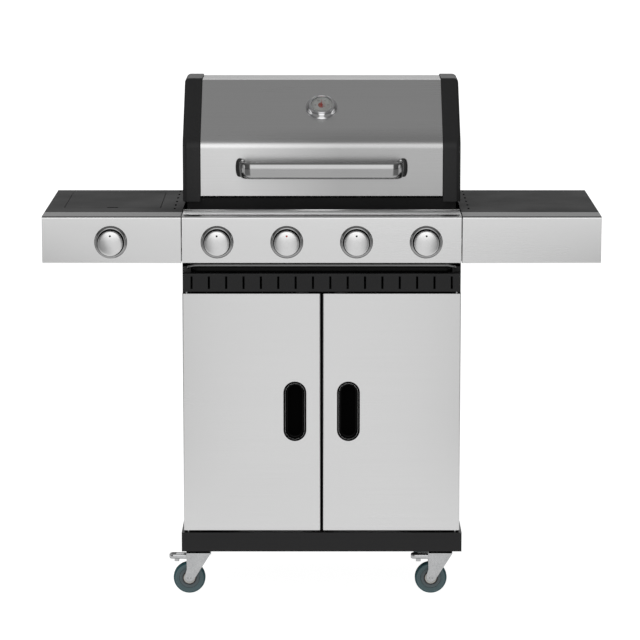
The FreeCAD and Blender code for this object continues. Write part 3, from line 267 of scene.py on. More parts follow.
finishes = {
    "brushedSteel": {"colour": 0.68, "metal": 1, "rough": 0.24, "spread": 0.04, "tone": 0.025, "grain": (3,
        1100, 1100), "cloud": (1.5, 4, 4), "patch": 0.015, "bump": 0.12},
    # the hood's steel carries a painted reflection: its sweep darkens the right of the lower face
    "hoodSteel": {"colour": 0.67, "metal": 1, "rough": 0.3, "spread": 0.04, "tone": 0.025, "grain": (3, 1100,
        1100), "cloud": (1.5, 4, 4), "patch": 0.015, "bump": 0.12, "sweep": (-0.2, 0.04, 0.32, 1.05, 1.09)},
    # matt white non-metal standing for bright steel on the panel ledge: painted reflection
    "satinSteel": {"colour": 0.96, "metal": 0, "rough": 0.45, "spread": 0.04, "tone": 0.03, "grain": (3, 1100,
        1100), "bump": 0.12},
    # a darker copy of the steel for the fascias' faces that look up: painted reflection
    "topPaintedReflectionSteel": {"colour": 0.135, "metal": 1, "rough": 0.26, "spread": 0.04, "tone": 0.03, "grain": (3, 1100,
        1100), "bump": 0.12},
    "bezelSteel": {"colour": 0.34, "metal": 1, "rough": 0.16, "spread": 0.03, "tone": 0.03, "grain": 300,
        "bump": 0.05},
    # a duller copy of the black enamel for the firebox strip under the hood: painted shade
    "fireboxBlack": {"colour": (0.01, 0.01, 0.0102), "rough": 0.4, "spread": 0.06, "tone": 0.2, "grain": 700,
        "bump": 0.25, "shine": 0.12},
    "innerSteel": {"colour": (0.42, 0.4, 0.37), "metal": 1, "rough": 0.42, "spread": 0.1, "tone": 0.08, "grain":
        (3, 300, 300), "cloud": (5, 5, 9), "patch": 0.1, "bump": 0.3},
    "blackEnamel": {"colour": (0.01, 0.01, 0.0105), "rough": 0.34, "spread": 0.06, "tone": 0.15, "grain": 900,
        "bump": 0.12, "shine": 0.24},
    "blackCast": {"colour": (0.02, 0.02, 0.0205), "rough": 0.36, "spread": 0.06, "tone": 0.2, "grain": 650,
        "bump": 0.3, "shine": 0.22},
    "shelfBlack": {"colour": (0.007, 0.007, 0.0073), "rough": 0.5, "spread": 0.05, "tone": 0.15, "grain": 1100,
        "bump": 0.2, "shine": 0.08},
    "castIron": {"colour": (0.022, 0.021, 0.02), "rough": 0.55, "spread": 0.12, "tone": 0.3, "grain": 420,
        "bump": 0.7, "relief": 0.0004, "shine": 0.4},
    "polishedBar": {"colour": 0.37, "metal": 1, "rough": 0.12, "spread": 0.03, "tone": 0.03, "grain": (4, 500,
        500), "bump": 0.06},
    # the tray's near-black, darkened further as painted shade under the panel
    "trayDark": {"colour": 0.005, "rough": 0.45, "spread": 0.1, "tone": 0.2, "grain": 120, "cloud": 12, "patch":
        0.2, "bump": 0.2, "shine": 0.08},
    # the lip's steel darkened as painted shade under the panel
    "lipSteel": {"colour": 0.165, "metal": 1, "rough": 0.3, "spread": 0.06, "tone": 0.06, "grain": (4, 500,
        500), "bump": 0.1},
    "chrome": {"colour": (0.7, 0.7, 0.71), "metal": 1, "rough": 0.07, "spread": 0.03, "tone": 0.01, "grain":
        200, "bump": 0.02},
    "turnedSilver": {"colour": 0.68, "metal": 1, "rough": 0.24, "spread": 0.03, "tone": 0.025, "grain": (3, 260,
        1), "coord": "UV", "bump": 0.08},
    "blackPlastic": {"colour": 0.01, "rough": 0.36, "spread": 0.05, "tone": 0.1, "grain": 1400, "bump": 0.25,
        "shine": 0.4},
    "pullBlack": {"colour": 0.0025, "rough": 0.4, "spread": 0.05, "tone": 0.1, "grain": 1400, "bump": 0.25,
        "shine": 0.08},
    "pullShadow": {"colour": 0.0006, "rough": 0.6, "spread": 0.05, "tone": 0.1, "grain": 1400, "bump": 0.15,
        "shine": 0.015},
    "zinc": {"colour": (0.47, 0.475, 0.48), "metal": 1, "rough": 0.22, "spread": 0.08, "tone": 0.08, "grain":
        240, "cloud": 40, "patch": 0.08, "bump": 0.15},
    "tyreRubber": {"colour": (0.018, 0.06, 0.068), "rough": 0.55, "spread": 0.08, "tone": 0.1, "grain": 500,
        "bump": 0.3, "shine": 0.3},
    "tyreWall": {"colour": (0.066, 0.104, 0.112), "rough": 0.55, "spread": 0.08, "tone": 0.1, "grain": 500,
        "bump": 0.3, "shine": 0.4},
    "tyreEdge": {"colour": (0.066, 0.086, 0.093), "rough": 0.5, "spread": 0.06, "tone": 0.08, "grain": 500,
        "bump": 0.2},
    "hubPlastic": {"colour": (0.42, 0.42, 0.4), "rough": 0.45, "spread": 0.06, "tone": 0.06, "grain": 700,
        "bump": 0.15},
    "brass": {"colour": (0.66, 0.5, 0.24), "metal": 1, "rough": 0.33, "spread": 0.08, "tone": 0.08, "grain":
        300, "bump": 0.15},
    "wireChrome": {"colour": (0.72, 0.72, 0.71), "metal": 1, "rough": 0.16, "spread": 0.06, "tone": 0.04,
        "grain": 160, "bump": 0.05},
    "heatedSteel": {"colour": (0.5, 0.44, 0.38), "metal": 1, "rough": 0.38, "spread": 0.1, "tone": 0.1, "grain":
        (200, 6, 200), "cloud": (9, 14, 9), "patch": 0.12, "bump": 0.25},
    "dialSilver": {"colour": (0.62, 0.61, 0.59), "metal": 0.6, "rough": 0.4, "spread": 0.04, "tone": 0.03,
        "grain": 900, "bump": 0.05},
    "dialRed": {"colour": (0.42, 0.1, 0.07), "rough": 0.5, "spread": 0.04, "tone": 0.05, "grain": 900, "bump":
        0.05},
    "hubShadow": {"colour": (0.045, 0.032, 0.028), "rough": 0.6, "spread": 0.05, "tone": 0.1, "grain": 700,
        "bump": 0.1},
    "paintRed": {"colour": (0.45, 0.03, 0.02), "rough": 0.4, "spread": 0.04, "tone": 0.05, "grain": 900, "bump":
        0.05},
}
skins = {}


def finish(name):
    if name not in skins:
        skins[name] = surface(name, finishes[name])
    return skins[name]


def gaugeGlass():
    material = plainMaterial("gaugeGlass", (0.95, 0.97, 0.97), 0, 0.03)
    shader = material.node_tree.nodes["Principled BSDF"]
    shader.inputs["Transmission Weight"].default_value = 1
    shader.inputs["IOR"].default_value = 1.3
    return material


# mesh building
def bodyOfNode(node):
    return nodes[node]["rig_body"]


def piece(name, mesh, finishName, node, replaces=None, body=None, bevel=0.0, segments=3, wall=0.0, angle=35):
    # one object in the frame: finished, given edges and a wall, and riding on its node's body
    item = bpy.data.objects.new(name, mesh)
    scene.collection.objects.link(item)
    names = [finishName] if isinstance(finishName, str) else finishName
    for one in names:
        mesh.materials.append(finish(one))
    for polygon in mesh.polygons:
        polygon.use_smooth = True
    mesh.set_sharp_from_angle(angle=math.radians(angle))
    if wall:
        solid = item.modifiers.new("wall", "SOLIDIFY")
        solid.thickness = wall
        solid.offset = -1
        solid.use_even_offset = True
        if len(names) > 1:
            solid.material_offset = 1
            solid.material_offset_rim = 0
    if bevel:
        edge = item.modifiers.new("edges", "BEVEL")
        edge.width = bevel
        edge.segments = segments
        edge.limit_method = "ANGLE"
        edge.angle_limit = math.radians(angle)
        edge.harden_normals = True
    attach(item, body or bodyOfNode(node))
    if replaces is None or replaces:
        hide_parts(*([node] if replaces is None else replaces))
    return item


def cleaned(mesh, merge=True, outward=True, flat=0.0):
    # merges corners, joins faces that lie within flat degrees of each other, and turns all faces outwards
    built = bmesh.new()
    built.from_mesh(mesh)
    if merge:
        bmesh.ops.remove_doubles(built, verts=built.verts, dist=1e-6)
    if flat:
        bmesh.ops.dissolve_limit(built, angle_limit=math.radians(flat), verts=built.verts, edges=built.edges)
    if outward:
        bmesh.ops.recalc_face_normals(built, faces=built.faces)
    built.to_mesh(mesh)
    built.free()
    return mesh


def meshFrom(name, vertices, faces):
    mesh = bpy.data.meshes.new(name)
    mesh.from_pydata([tuple(v) for v in vertices], [], faces)
    mesh.validate()
    return cleaned(mesh)


def joined(name, meshes):
    # one mesh of several, each keeping its faces' material numbers
    built = bmesh.new()
    for mesh in meshes:
        built.from_mesh(mesh)
    mesh = bpy.data.meshes.new(name)
    built.to_mesh(mesh)
    built.free()
    return mesh


def painted(mesh, index):
    for polygon in mesh.polygons:
        polygon.material_index = index
    return mesh


def moved(mesh, matrix):
    mesh.transform(matrix)
    return mesh


def roundCorners(points, radii, steps=8, closed=False):
    # a polyline with arcs at its corners; radii is one number or one for each point
    count = len(points)
    radii = [radii] * count if isinstance(radii, (int, float)) else radii
    points = [Vector(p) for p in points]
    out = []
    for i, point in enumerate(points):
        if not closed and i in (0, count - 1) or radii[i] <= 0:
            out.append(point)
            continue
        back = (points[i - 1] - point).normalized()
        ahead = (points[(i + 1) % count] - point).normalized()
        half = back.angle(ahead) / 2
        reach = min(radii[i] / math.tan(half), (points[i - 1] - point).length * 0.49,
                    (points[(i + 1) % count] - point).length * 0.49)
        radius = reach * math.tan(half)
        centre = point + (back + ahead).normalized() * (radius / math.sin(half))
        a, b = point + back * reach - centre, point + ahead * reach - centre
        turn = a.angle(b)
        for k in range(steps + 1):
            t = k / steps
            out.append(centre + (a * math.sin((1 - t) * turn) + b * math.sin(t * turn)) / math.sin(turn))
    return out


def loft(name, rings, closed=True, capStart=False, capEnd=False):
    # faces between rings of points
    size = len(rings[0])
    vertices = [v for ring in rings for v in ring]
    faces = []
    for r in range(len(rings) - 1):
        for i in range(size if closed else size - 1):
            j = (i + 1) % size
            faces.append((r * size + i, r * size + j, (r + 1) * size + j, (r + 1) * size + i))
    if capStart:
        faces.append(tuple(range(size)))
    if capEnd:
        faces.append(tuple((len(rings) - 1) * size + i for i in range(size)))
    return meshFrom(name, vertices, faces)


def along(axis, centre):
    # a matrix that takes local Z to the axis named and the local origin to the centre
    turns = {"z": Matrix(), "-z": Matrix.Rotation(math.pi, 4, "X"), "x": Matrix.Rotation(math.pi / 2, 4, "Y"),
             "-y": Matrix.Rotation(math.pi / 2, 4, "X"), "y": Matrix.Rotation(-math.pi / 2, 4, "X")}
    return Matrix.Translation(centre) @ (turns[axis] if isinstance(axis, str) else axis)


def lathe(name, profile, matrix, segments=64, ringed=False):
    # turns (radius, height) points about local Z; ringed closes the profile on itself
    profile = profile + profile[:1] if ringed else profile
    rings = []
    for radius, height in profile:
        ring = [2 * math.pi * k / segments for k in range(segments)]
        rings.append([Vector((radius * math.cos(turn), radius * math.sin(turn), height)) for turn in ring])
    capped = [profile[end][0] > 0 and not ringed for end in (0, -1)]
    mesh = loft(name, rings, capStart=capped[0], capEnd=capped[1])
    uv = mesh.uv_layers.new(name="turned")
    for loop in mesh.loops:
        place = mesh.vertices[loop.vertex_index].co
        uv.data[loop.index].uv = (math.atan2(place.y, place.x) / (2 * math.pi) + 0.5,
                                  math.hypot(place.x, place.y) * 40 + place.z * 40)
    return moved(mesh, matrix)


def sheetX(name, outline, low, high, closed=False):
    # a (y, z) outline run along X from low to high
    rings = [[Vector((x, p[0], p[1])) for p in outline] for x in (low, high)]
    return loft(name, rings, closed=closed)


def plateMesh(name, outline, holes, thick, matrix, bevel=0.0):
    # a flat plate with holes, drawn in local XY, its face at local z = 0 and its back at -thick
    curve = bpy.data.curves.new(name, "CURVE")
    curve.dimensions = "2D"
    curve.fill_mode = "BOTH"
    curve.extrude = thick / 2 - bevel
    curve.bevel_depth = bevel
    curve.bevel_resolution = 2
    curve.offset = -bevel
    for ring in [outline] + holes:
        spline = curve.splines.new("POLY")
        spline.points.add(len(ring) - 1)
        for point, place in zip(spline.points, ring):
            point.co = (place[0], place[1], 0, 1)
        spline.use_cyclic_u = True
    item = bpy.data.objects.new(name, curve)
    scene.collection.objects.link(item)
    mesh = bpy.data.meshes.new_from_object(item.evaluated_get(bpy.context.evaluated_depsgraph_get()))
    bpy.data.objects.remove(item)
    mesh.materials.clear()
    mesh.transform(Matrix.Translation((0, 0, -thick / 2)))
    return moved(cleaned(mesh), matrix)


def boxRing(x0, x1, y0, y1, radius=0.0, steps=4):
    corners = [(x0, y0, 0), (x1, y0, 0), (x1, y1, 0), (x0, y1, 0)]
    return roundCorners(corners, radius, steps, True) if radius else [Vector(c) for c in corners]


def obroundRing(cx, cy, wide, tall, steps=16):
    # an upright slot shape with round ends, or round sides if it is wider than tall
    radius = min(wide, tall) / 2
    reach = abs(tall - wide) / 2
    ring = []
    for end in (1, -1):
        for k in range(steps + 1):
            turn = math.pi * k / steps + (0 if end > 0 else math.pi)
            x, y = radius * math.cos(turn), radius * math.sin(turn) + end * reach
            ring.append(Vector((cx + x, cy + y, 0)) if tall >= wide else Vector((cx + y, cy - x, 0)))
    return ring


def blockMesh(name, low, high, corner=0.0):
    # a block, with its upright corners rounded if a radius is given
    ring = boxRing(low[0], high[0], low[1], high[1], corner)
    rings = [[Vector((p.x, p.y, z)) for p in ring] for z in (low[2], high[2])]
    return loft(name, rings, capStart=True, capEnd=True)


def sweep(name, path, section, up=Vector((0, 0, 1)), closed=False, caps=True):
    # carries a section, drawn as (sideways, up) points, along a path
    rings = []
    count = len(path)
    for i, point in enumerate(path):
        before = path[i - 1] if i or closed else point
        after = path[(i + 1) % count] if i < count - 1 or closed else point
        ahead = (after - before).normalized()
        sideways = ahead.cross(up).normalized()
        over = sideways.cross(ahead)
        rings.append([point + sideways * s + over * u for s, u in section])
    if closed:
        rings.append(rings[0])
    return loft(name, rings, capStart=caps and not closed, capEnd=caps and not closed)


def circle(radius, steps=12):
    return [(radius * math.cos(2 * math.pi * k / steps), radius * math.sin(2 * math.pi * k / steps))
            for k in range(steps)]


def oval(wide, tall, steps=24, power=2.6):
    # a rounded flat oval section
    ring = []
    for k in range(steps):
        c, s = math.cos(2 * math.pi * k / steps), math.sin(2 * math.pi * k / steps)
        ring.append((math.copysign(abs(c) ** (2 / power), c) * wide / 2,
                     math.copysign(abs(s) ** (2 / power), s) * tall / 2))
    return ring


makeCamera(viewSetup)
makeStudio(studio)
print("view, floor and light are set")

# hood
hood = {"slopeAngle": 40, "slopeTurn": 34 * mm, "rise": 131 * mm, "topTurn": 12 * mm, "topBack": 69 * mm,
        "backDrop": 150 * mm, "backTurn": 60 * mm, "footLean": 25, "skin": 1.2 * mm, "hem": 9 * mm,
        "hemLean": 1 * mm, "hemTurn": 2 * mm, "capTurn": 11 * mm, "capWall": 3 * mm, "capSteps": 8,
        "capLap": 1.5 * mm, "earAt": 298.5 * mm, "earThick": 4 * mm, "pinHole": 8.2 * mm}
earShape = ((-12, 6, 2), (-12, 32, 2), (7, 32, 6), (7, -7, 6.9), (-7, -7, 6.9), (-7, 6, 2))  # place and turn, in mm


def hoodOutline(low, high, proud, bottom):
    # side outline of the hood, from the front foot over the top to the back foot
    slope = math.radians(hood["slopeAngle"])
    front, back, top = low.y, high.y, high.z
    bend, run = top - hood["rise"], hood["rise"] / math.tan(slope)
    topTurn = hood["topTurn"] + proud
    return roundCorners([
        (front - proud, bottom, 0),
        (front - proud, bend + proud * math.tan(math.radians(hood["footLean"])), 0),
        (front + run - proud * math.tan(slope / 2), top + proud, 0),
        (back - hood["topBack"] + proud / 2, top + proud, 0),
        (back + proud, top - hood["backDrop"], 0),
        (back + proud, bottom, 0)], [0, hood["slopeTurn"] + proud, topTurn, topTurn, hood["backTurn"], 0], 12)


skinLow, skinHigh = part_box("hood_skin")


def makeHood():
    outline = hoodOutline(skinLow, skinHigh, 0, skinLow.z)
    hem, lean, turn = hood["hem"], hood["hemLean"], hood["hemTurn"]
    start, end = outline[0], outline[-1]
    outline = ([Vector((start.x + hem, start.y + lean, 0)), Vector((start.x + turn, start.y, 0))] + outline
               + [Vector((end.x - turn, end.y, 0)), Vector((end.x - hem, end.y + lean, 0))])
    mesh = sheetX("hoodSkin", [(p.x, p.y) for p in outline], skinLow.x, skinHigh.x)
    piece("hoodSkin", mesh, ["hoodSteel", "innerSteel"], "hood_skin", wall=hood["skin"], bevel=0.3 * mm)
    for word, side in (("left", -1), ("right", 1)):
        makeHoodEnd(word, side)


def makeHoodEnd(word, side):
    low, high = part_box("hood_cap_" + word)
    outer, inner = (low.x, high.x) if side < 0 else (high.x, low.x)
    proud, turn = skinLow.y - low.y, hood["capTurn"]

    def ring(x, out):
        return [Vector((x, p.x, p.y)) for p in hoodOutline(skinLow, skinHigh, out, low.z)]

    rings = [ring(inner, proud - hood["skin"])]
    for k in range(hood["capSteps"] + 1):
        t = math.pi / 2 * k / hood["capSteps"]
        rings.append(ring(outer - side * turn * (1 - math.sin(t)), proud - turn * (1 - math.cos(t))))
    rings.insert(1, [Vector((inner + side * hood["capLap"], p.y, p.z)) for p in rings[1]])
    mesh = loft("hoodCap_" + word, rings, closed=False, capEnd=True)
    piece("hoodCap_" + word, mesh, "blackCast", "hood_cap_" + word, wall=hood["capWall"], bevel=0.5 * mm)
    corners = [(x * mm, y * mm, 0) for x, y, _ in earShape]
    outline = roundCorners(corners, [radius * mm for _, _, radius in earShape], 6, True)
    hole = obroundRing(0, 0, hood["pinHole"], hood["pinHole"])
    ear = plateMesh("hoodEar_" + word, outline, [hole], hood["earThick"], Matrix(), 0.4 * mm)
    pin = jointPlace["hood_hinge"]
    stand = Matrix.Translation((side * hood["earAt"] + hood["earThick"] / 2, pin.y, pin.z)) @ Matrix(
        ((0, 0, 1, 0), (1, 0, 0, 0), (0, 1, 0, 0), (0, 0, 0, 1)))
    piece("hoodEar_" + word, moved(ear, stand), "blackCast", "hood_cap_" + word, replaces=[])


# repeats, holes and copies of the frame's own shapes
def rowTree():
    tree = bpy.data.node_groups.new("row", "GeometryNodeTree")
    tree.is_modifier = True
    for label, kind in (("Piece", "Object"), ("Start", "Vector"), ("Step", "Vector"), ("Count", "Int"),
                        ("Turn", "Float"), ("Finish", "Material")):
        tree.interface.new_socket(label, in_out="INPUT", socket_type="NodeSocket" + kind)
    tree.interface.new_socket("Geometry", in_out="OUTPUT", socket_type="NodeSocketGeometry")
    inward, outward = tree.nodes.new("NodeGroupInput"), tree.nodes.new("NodeGroupOutput")
    line = tree.nodes.new("GeometryNodeMeshLine")
    source = tree.nodes.new("GeometryNodeObjectInfo")
    copies = tree.nodes.new("GeometryNodeInstanceOnPoints")
    index = tree.nodes.new("GeometryNodeInputIndex")
    turn = tree.nodes.new("ShaderNodeCombineXYZ")
    real = tree.nodes.new("GeometryNodeRealizeInstances")
    coat = tree.nodes.new("GeometryNodeSetMaterial")
    link = tree.links.new
    link(inward.outputs["Start"], line.inputs["Start Location"])
    link(inward.outputs["Step"], line.inputs["Offset"])
    link(inward.outputs["Count"], line.inputs["Count"])
    link(inward.outputs["Piece"], source.inputs["Object"])
    link(line.outputs[0], copies.inputs["Points"])
    link(source.outputs["Geometry"], copies.inputs["Instance"])
    link(times(tree, index.outputs[0], inward.outputs["Turn"]), turn.inputs["Z"])
    link(turn.outputs[0], copies.inputs["Rotation"])
    link(copies.outputs[0], real.inputs[0])
    link(real.outputs[0], coat.inputs["Geometry"])
    link(inward.outputs["Finish"], coat.inputs["Material"])
    link(coat.outputs[0], outward.inputs[0])
    return tree


def plainMesh(item):
    # the object's evaluated shape as a plain mesh; the object itself goes
    bpy.context.view_layer.update()
    mesh = bpy.data.meshes.new_from_object(item.evaluated_get(bpy.context.evaluated_depsgraph_get()))
    mesh.materials.clear()
    bpy.data.objects.remove(item)
    return mesh


def temporary(name, mesh):
    item = bpy.data.objects.new(name, mesh)
    scene.collection.objects.link(item)
    return item


def row(name, mesh, start, step, count, finishName, turn=0.0):
    # copies of a mesh along a line, or round local Z where turn is given, by Geometry Nodes
    pattern = temporary(name + "Pattern", mesh)
    carrier = temporary(name, bpy.data.meshes.new(name))
    modifier = carrier.modifiers.new("row", "NODES")
    modifier.node_group = rowNodes
    values = {"Piece": pattern, "Start": start, "Step": step, "Count": count, "Turn": turn,
              "Finish": finish(finishName)}
    for socket in rowNodes.interface.items_tree:
        if socket.item_type == "SOCKET" and socket.in_out == "INPUT":
            modifier[socket.identifier] = values[socket.name]
    result = plainMesh(carrier)
    bpy.data.objects.remove(pattern)
    return result


def drilled(mesh, cutter):
    # the mesh with the cutter's shape taken out of it
    base, tool = temporary("drilled", mesh), temporary("cutter", cutter)
    modifier = base.modifiers.new("cut", "BOOLEAN")
    modifier.operation = "DIFFERENCE"
    modifier.solver = "EXACT"
    modifier.object = tool
    result = plainMesh(base)
    bpy.data.objects.remove(tool)
    return result


def cadCopy(node):
    # the node's own shape as a clean mesh: corners merged and flat faces joined up
    mesh = nodes[node].data.copy()
    mesh.materials.clear()
    return cleaned(mesh, outward=False, flat=0.6)


rowNodes = rowTree()
makeHood()
print("hood made")

# handle
handle = {"thick": 12.5 * mm, "tall": 38 * mm, "drop": 2 * mm, "bend": 52 * mm, "standOff": 6.5 * mm, "oval": 2.2,
          "barIn": 18.5 * mm,
          "footIn": 12.5 * mm, "footWide": 20 * mm, "footTall": 43 * mm, "footDeep": 7 * mm, "cuff": 15 * mm,
          "cuffTall": 39.5 * mm}


def ovalLoft(name, centre, steps, power=2.6):
    # rings of (width, height, depth) stacked along -Y from the centre
    rings = [[Vector((centre.x + a, centre.y - depth, centre.z + b)) for a, b in oval(wide, tall, 40, power)]
             for wide, tall, depth in steps]
    return loft(name, rings, capStart=True, capEnd=True)


def makeHandle():
    low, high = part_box("hood_handle")
    footLow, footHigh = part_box("handle_ferrules")
    y, z = low.y + handle["standOff"], (low.z + high.z) / 2
    reach, footAt = footHigh.x - handle["barIn"], footHigh.x - handle["footIn"]
    barZ = z - handle["drop"]
    path = roundCorners([(-reach, footLow.y + 2 * mm, barZ), (-reach, y, barZ), (reach, y, barZ),
                         (reach, footLow.y + 2 * mm, barZ)], handle["bend"], 18)
    bar = sweep("handleBar", path, oval(handle["thick"], handle["tall"], 40, handle["oval"]))
    piece("handleBar", bar, "polishedBar", "hood_handle", angle=50)
    boots, cuffs = [], []
    for side in (-1, 1):
        wide, tall, deep = handle["footWide"], handle["footTall"], handle["footDeep"]
        cuff, cuffTall = handle["cuff"], handle["cuffTall"]
        boots.append(ovalLoft("boot", Vector((side * footAt, footHigh.y, z)), [
            (wide - 0.6 * mm, tall - 0.6 * mm, 0), (wide, tall, 0.8 * mm),
            (wide - 0.4 * mm, tall - 0.4 * mm, deep - 1.5 * mm),
            (wide - 1.6 * mm, tall - 1.6 * mm, deep - 0.4 * mm), (wide - 3.2 * mm, tall - 3.2 * mm, deep)]))
        cuffs.append(ovalLoft("cuff", Vector((side * reach, footHigh.y, z)), [
            (cuff, cuffTall, deep - 1 * mm), (cuff, cuffTall, deep + 2.4 * mm),
            (cuff - 0.8 * mm, cuffTall - 0.8 * mm, deep + 3.2 * mm),
            (cuff - 2 * mm, cuffTall - 2 * mm, deep + 3.6 * mm)]))
    piece("handleBoots", joined("handleBoots", boots), "blackPlastic", "handle_ferrules")
    piece("handleCuffs", joined("handleCuffs", cuffs), "polishedBar", "handle_ferrules", replaces=[])


makeHandle()

# thermometer
gauge = {"up": 111 * mm, "ticks": 25, "tickStep": 10, "tickStart": -120, "numberSize": 4.2 * mm,
         "numberOut": 15.4 * mm, "numberUp": 8.97 * mm,
         "numbers": ("100", "200", "300", "400")}
gaugeTilt = math.radians(hood["slopeAngle"])
gaugePlace = (0, skinLow.y + gauge["up"] * math.cos(gaugeTilt),
              skinHigh.z - hood["rise"] + gauge["up"] * math.sin(gaugeTilt))
gaugeSeat = Matrix.Translation(gaugePlace) @ Matrix.Rotation(gaugeTilt, 4, "X")


def scaled(points):
    return [(a * mm, b * mm) for a, b in points]


def makeThermometer():
    case = lathe("gaugeCase", scaled([
        (0, -45), (2.4, -44.6), (3, -43.6), (3, -1), (30, -0.6), (37.2, 0), (37.5, 0.7), (37.2, 1.5), (35.8, 2.2),
        (34.6, 3.6), (33.2, 6.4), (31.4, 9), (30.2, 9.9), (29.4, 10), (29, 10.6), (29.2, 12), (28.8, 13.4),
        (27.8, 14), (26, 14), (24.9, 13.4), (24.4, 12.4), (24, 8), (0, 8)]), gaugeSeat, 96)
    piece("gaugeCase", case, "chrome", "thermometer_case", angle=28)
    rim = lathe("gaugeDial", scaled([(0, 8.9), (8.6, 8.9)]), gaugeSeat, 64)
    face = lathe("gaugeFace", scaled([(8.6, 8.9), (23.9, 8.9), (23.9, 8.05), (0, 8.05)]), gaugeSeat, 64)
    dial = joined("gaugeDial", [painted(rim, 1), face])
    piece("gaugeDial", dial, ["dialSilver", "dialRed"], "thermometer_dial")
    tick = blockMesh("tick", (-0.3 * mm, 19.4 * mm, 8.92 * mm), (0.3 * mm, 22.4 * mm, 9.02 * mm))
    step = math.radians(gauge["tickStep"])
    ticks = row("gaugeTicks", tick, (0, 0, 0), (0, 0, 0), gauge["ticks"], "blackPlastic", -step)
    ticks.transform(gaugeSeat @ Matrix.Rotation(math.radians(120), 4, "Z"))
    marks = [ticks]
    for k, number in enumerate(gauge["numbers"]):
        text = bpy.data.curves.new("number", "FONT")
        text.body = number
        text.size = gauge["numberSize"]
        text.align_x, text.align_y = "CENTER", "CENTER"
        text.extrude = 0.05 * mm
        item = temporary("number", text)
        mesh = plainMesh(item)
        turn = math.radians(90 - k * 60)
        out = gauge["numberOut"]
        place = Matrix.Translation((-math.sin(turn) * out, math.cos(turn) * out, gauge["numberUp"]))
        mesh.transform(gaugeSeat @ place)
        marks.append(mesh)
    piece("gaugeMarks", joined("gaugeMarks", marks), "blackPlastic", "thermometer_dial", replaces=[])
    pointer = loft("pointer", [[Vector(p) * mm for p in ring] for ring in (
        [(-1.2, -5, 9.6), (1.2, -5, 9.6), (1.2, -5, 10.2), (-1.2, -5, 10.2)],
        [(-0.9, 2, 9.6), (0.9, 2, 9.6), (0.9, 2, 10.3), (-0.9, 2, 10.3)],
        [(-0.15, 18, 9.6), (0.15, 18, 9.6), (0.15, 18, 9.8), (-0.15, 18, 9.8)])], capStart=True, capEnd=True)
    hub = lathe("needleHub", scaled([(0, 9.6), (3, 9.6), (3, 10.6), (2.4, 11), (0, 11.1)]), Matrix(), 32)
    needle = moved(joined("gaugeNeedle", [pointer, hub]), gaugeSeat)
    piece("gaugeNeedle", needle, "paintRed", "thermometer_needle", bevel=0.15 * mm, segments=1)
    lens = scaled([(0, 12.5), (24, 12.5), (24, 12.8), (18, 13.2), (10, 13.4), (0, 13.5)])
    piece("gaugeLens", lathe("gaugeGlass", lens, gaugeSeat, 64), ["gaugeGlass"], "thermometer_glass")


skins["gaugeGlass"] = gaugeGlass()
makeThermometer()
print("handle and thermometer made")

# knobs
knob = {"dotUp": 17.5 * mm, "dotRadius": 2.3 * mm}
knobProfile = scaled([(0, 14.4), (4.1, 14.4), (4.1, 0), (24.5, 0), (26.6, 0.6), (27.9, 1.8), (28.5, 3.6), (28.5, 17.6),
                      (28.3, 18.6), (27.7, 19.3), (26.8, 19.65), (23, 20.26), (19, 20.8), (13, 21.44), (7, 21.84),
                      (0, 22)])
bezelProfile = scaled([(5, 0.1), (37.75, 0.1), (37.75, 0.9), (37.4, 2.2), (36.5, 3.9), (35.2, 5.4), (33.8, 6.4),
                       (32.4, 6.95),
                       (31.4, 6.9), (30.8, 6.3), (30.7, 5.2), (30.4, 2.4), (29, 1.6), (5, 1.5)])


def makeKnobs():
    bezels = []
    for number in range(1, 6):
        low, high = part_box(f"knob_{number}")
        seat = along("-y", ((low.x + high.x) / 2, high.y, (low.z + high.z) / 2))
        piece(f"knob_{number}", lathe("knob", knobProfile, seat, 96), "turnedSilver", f"knob_{number}", angle=30)
        dot = lathe("dot", [(0, 0.2 * mm), (knob["dotRadius"], 0.15 * mm), (knob["dotRadius"], -1 * mm), (0, -1 * mm)],
                    seat @ Matrix.Translation((0, knob["dotUp"], 21.2 * mm)), 20)
        mark = "paintRed" if number == 3 else "blackPlastic"
        piece(f"knobMark_{number}", dot, mark, f"knob_{number}", replaces=[])
        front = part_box("control_panel")[0].y
        ring = along("-y", ((low.x + high.x) / 2, front, (low.z + high.z) / 2))
        bezels.append(lathe("bezel", bezelProfile, ring, 96, True))
    piece("knobBezels", joined("knobBezels", bezels), "bezelSteel", "knob_bezels", angle=30)


makeKnobs()
print("knobs made")

ledge = {"front": 36 * mm, "back": 79 * mm, "up": 1.2 * mm, "beadTall": 4 * mm, "beadLean": 1.2 * mm,
         "beadDeep": 5 * mm, "sideIn": 1 * mm}


def makeLedge():
    # the pale plate behind the panel's front edge, matt white as a painted reflection of bright steel, and the bead
    # that guards it
    low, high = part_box("control_panel")
    y0, y1, top = low.y + ledge["front"], low.y + ledge["back"], high.z
    x0, x1 = low.x + ledge["sideIn"], high.x - ledge["sideIn"]
    crown = top + ledge["up"] + ledge["beadTall"]
    plate = roundCorners([(y0, top + 0.2 * mm, 0), (y0 + 3 * mm, top + ledge["up"], 0), (y1, top + ledge["up"], 0)],
                         [0, 1.5 * mm, 0], 6)
    lean, deep = y1 + ledge["beadLean"], y1 + ledge["beadDeep"]
    bead = roundCorners([(y1 - 0.2 * mm, top, 0), (lean, crown, 0), (deep, crown, 0), (deep, top, 0)],
                        [0, 0.8 * mm, 1.5 * mm, 0], 6)
    for name, line, skin in (("panelLedge", plate, "satinSteel"), ("panelBead", bead, "brushedSteel")):
        mesh = sheetX(name, [(p.x, p.y) for p in line], x0, x1)
        piece(name, mesh, skin, "control_panel", replaces=[], wall=0.8 * mm)


makeLedge()

# door pulls
pullSteps = [(4.6, -14), (4.6, -0.2), (0, -0.2), (0, 0.9), (0.35, 1.6), (1, 2), (2.9, 2), (3.7, 1.6), (4.1, 0.9),
             (4.3, 0), (4.9, -5), (5.6, -8.6), (7.2, -11), (9.6, -12), (14, -12.2)]


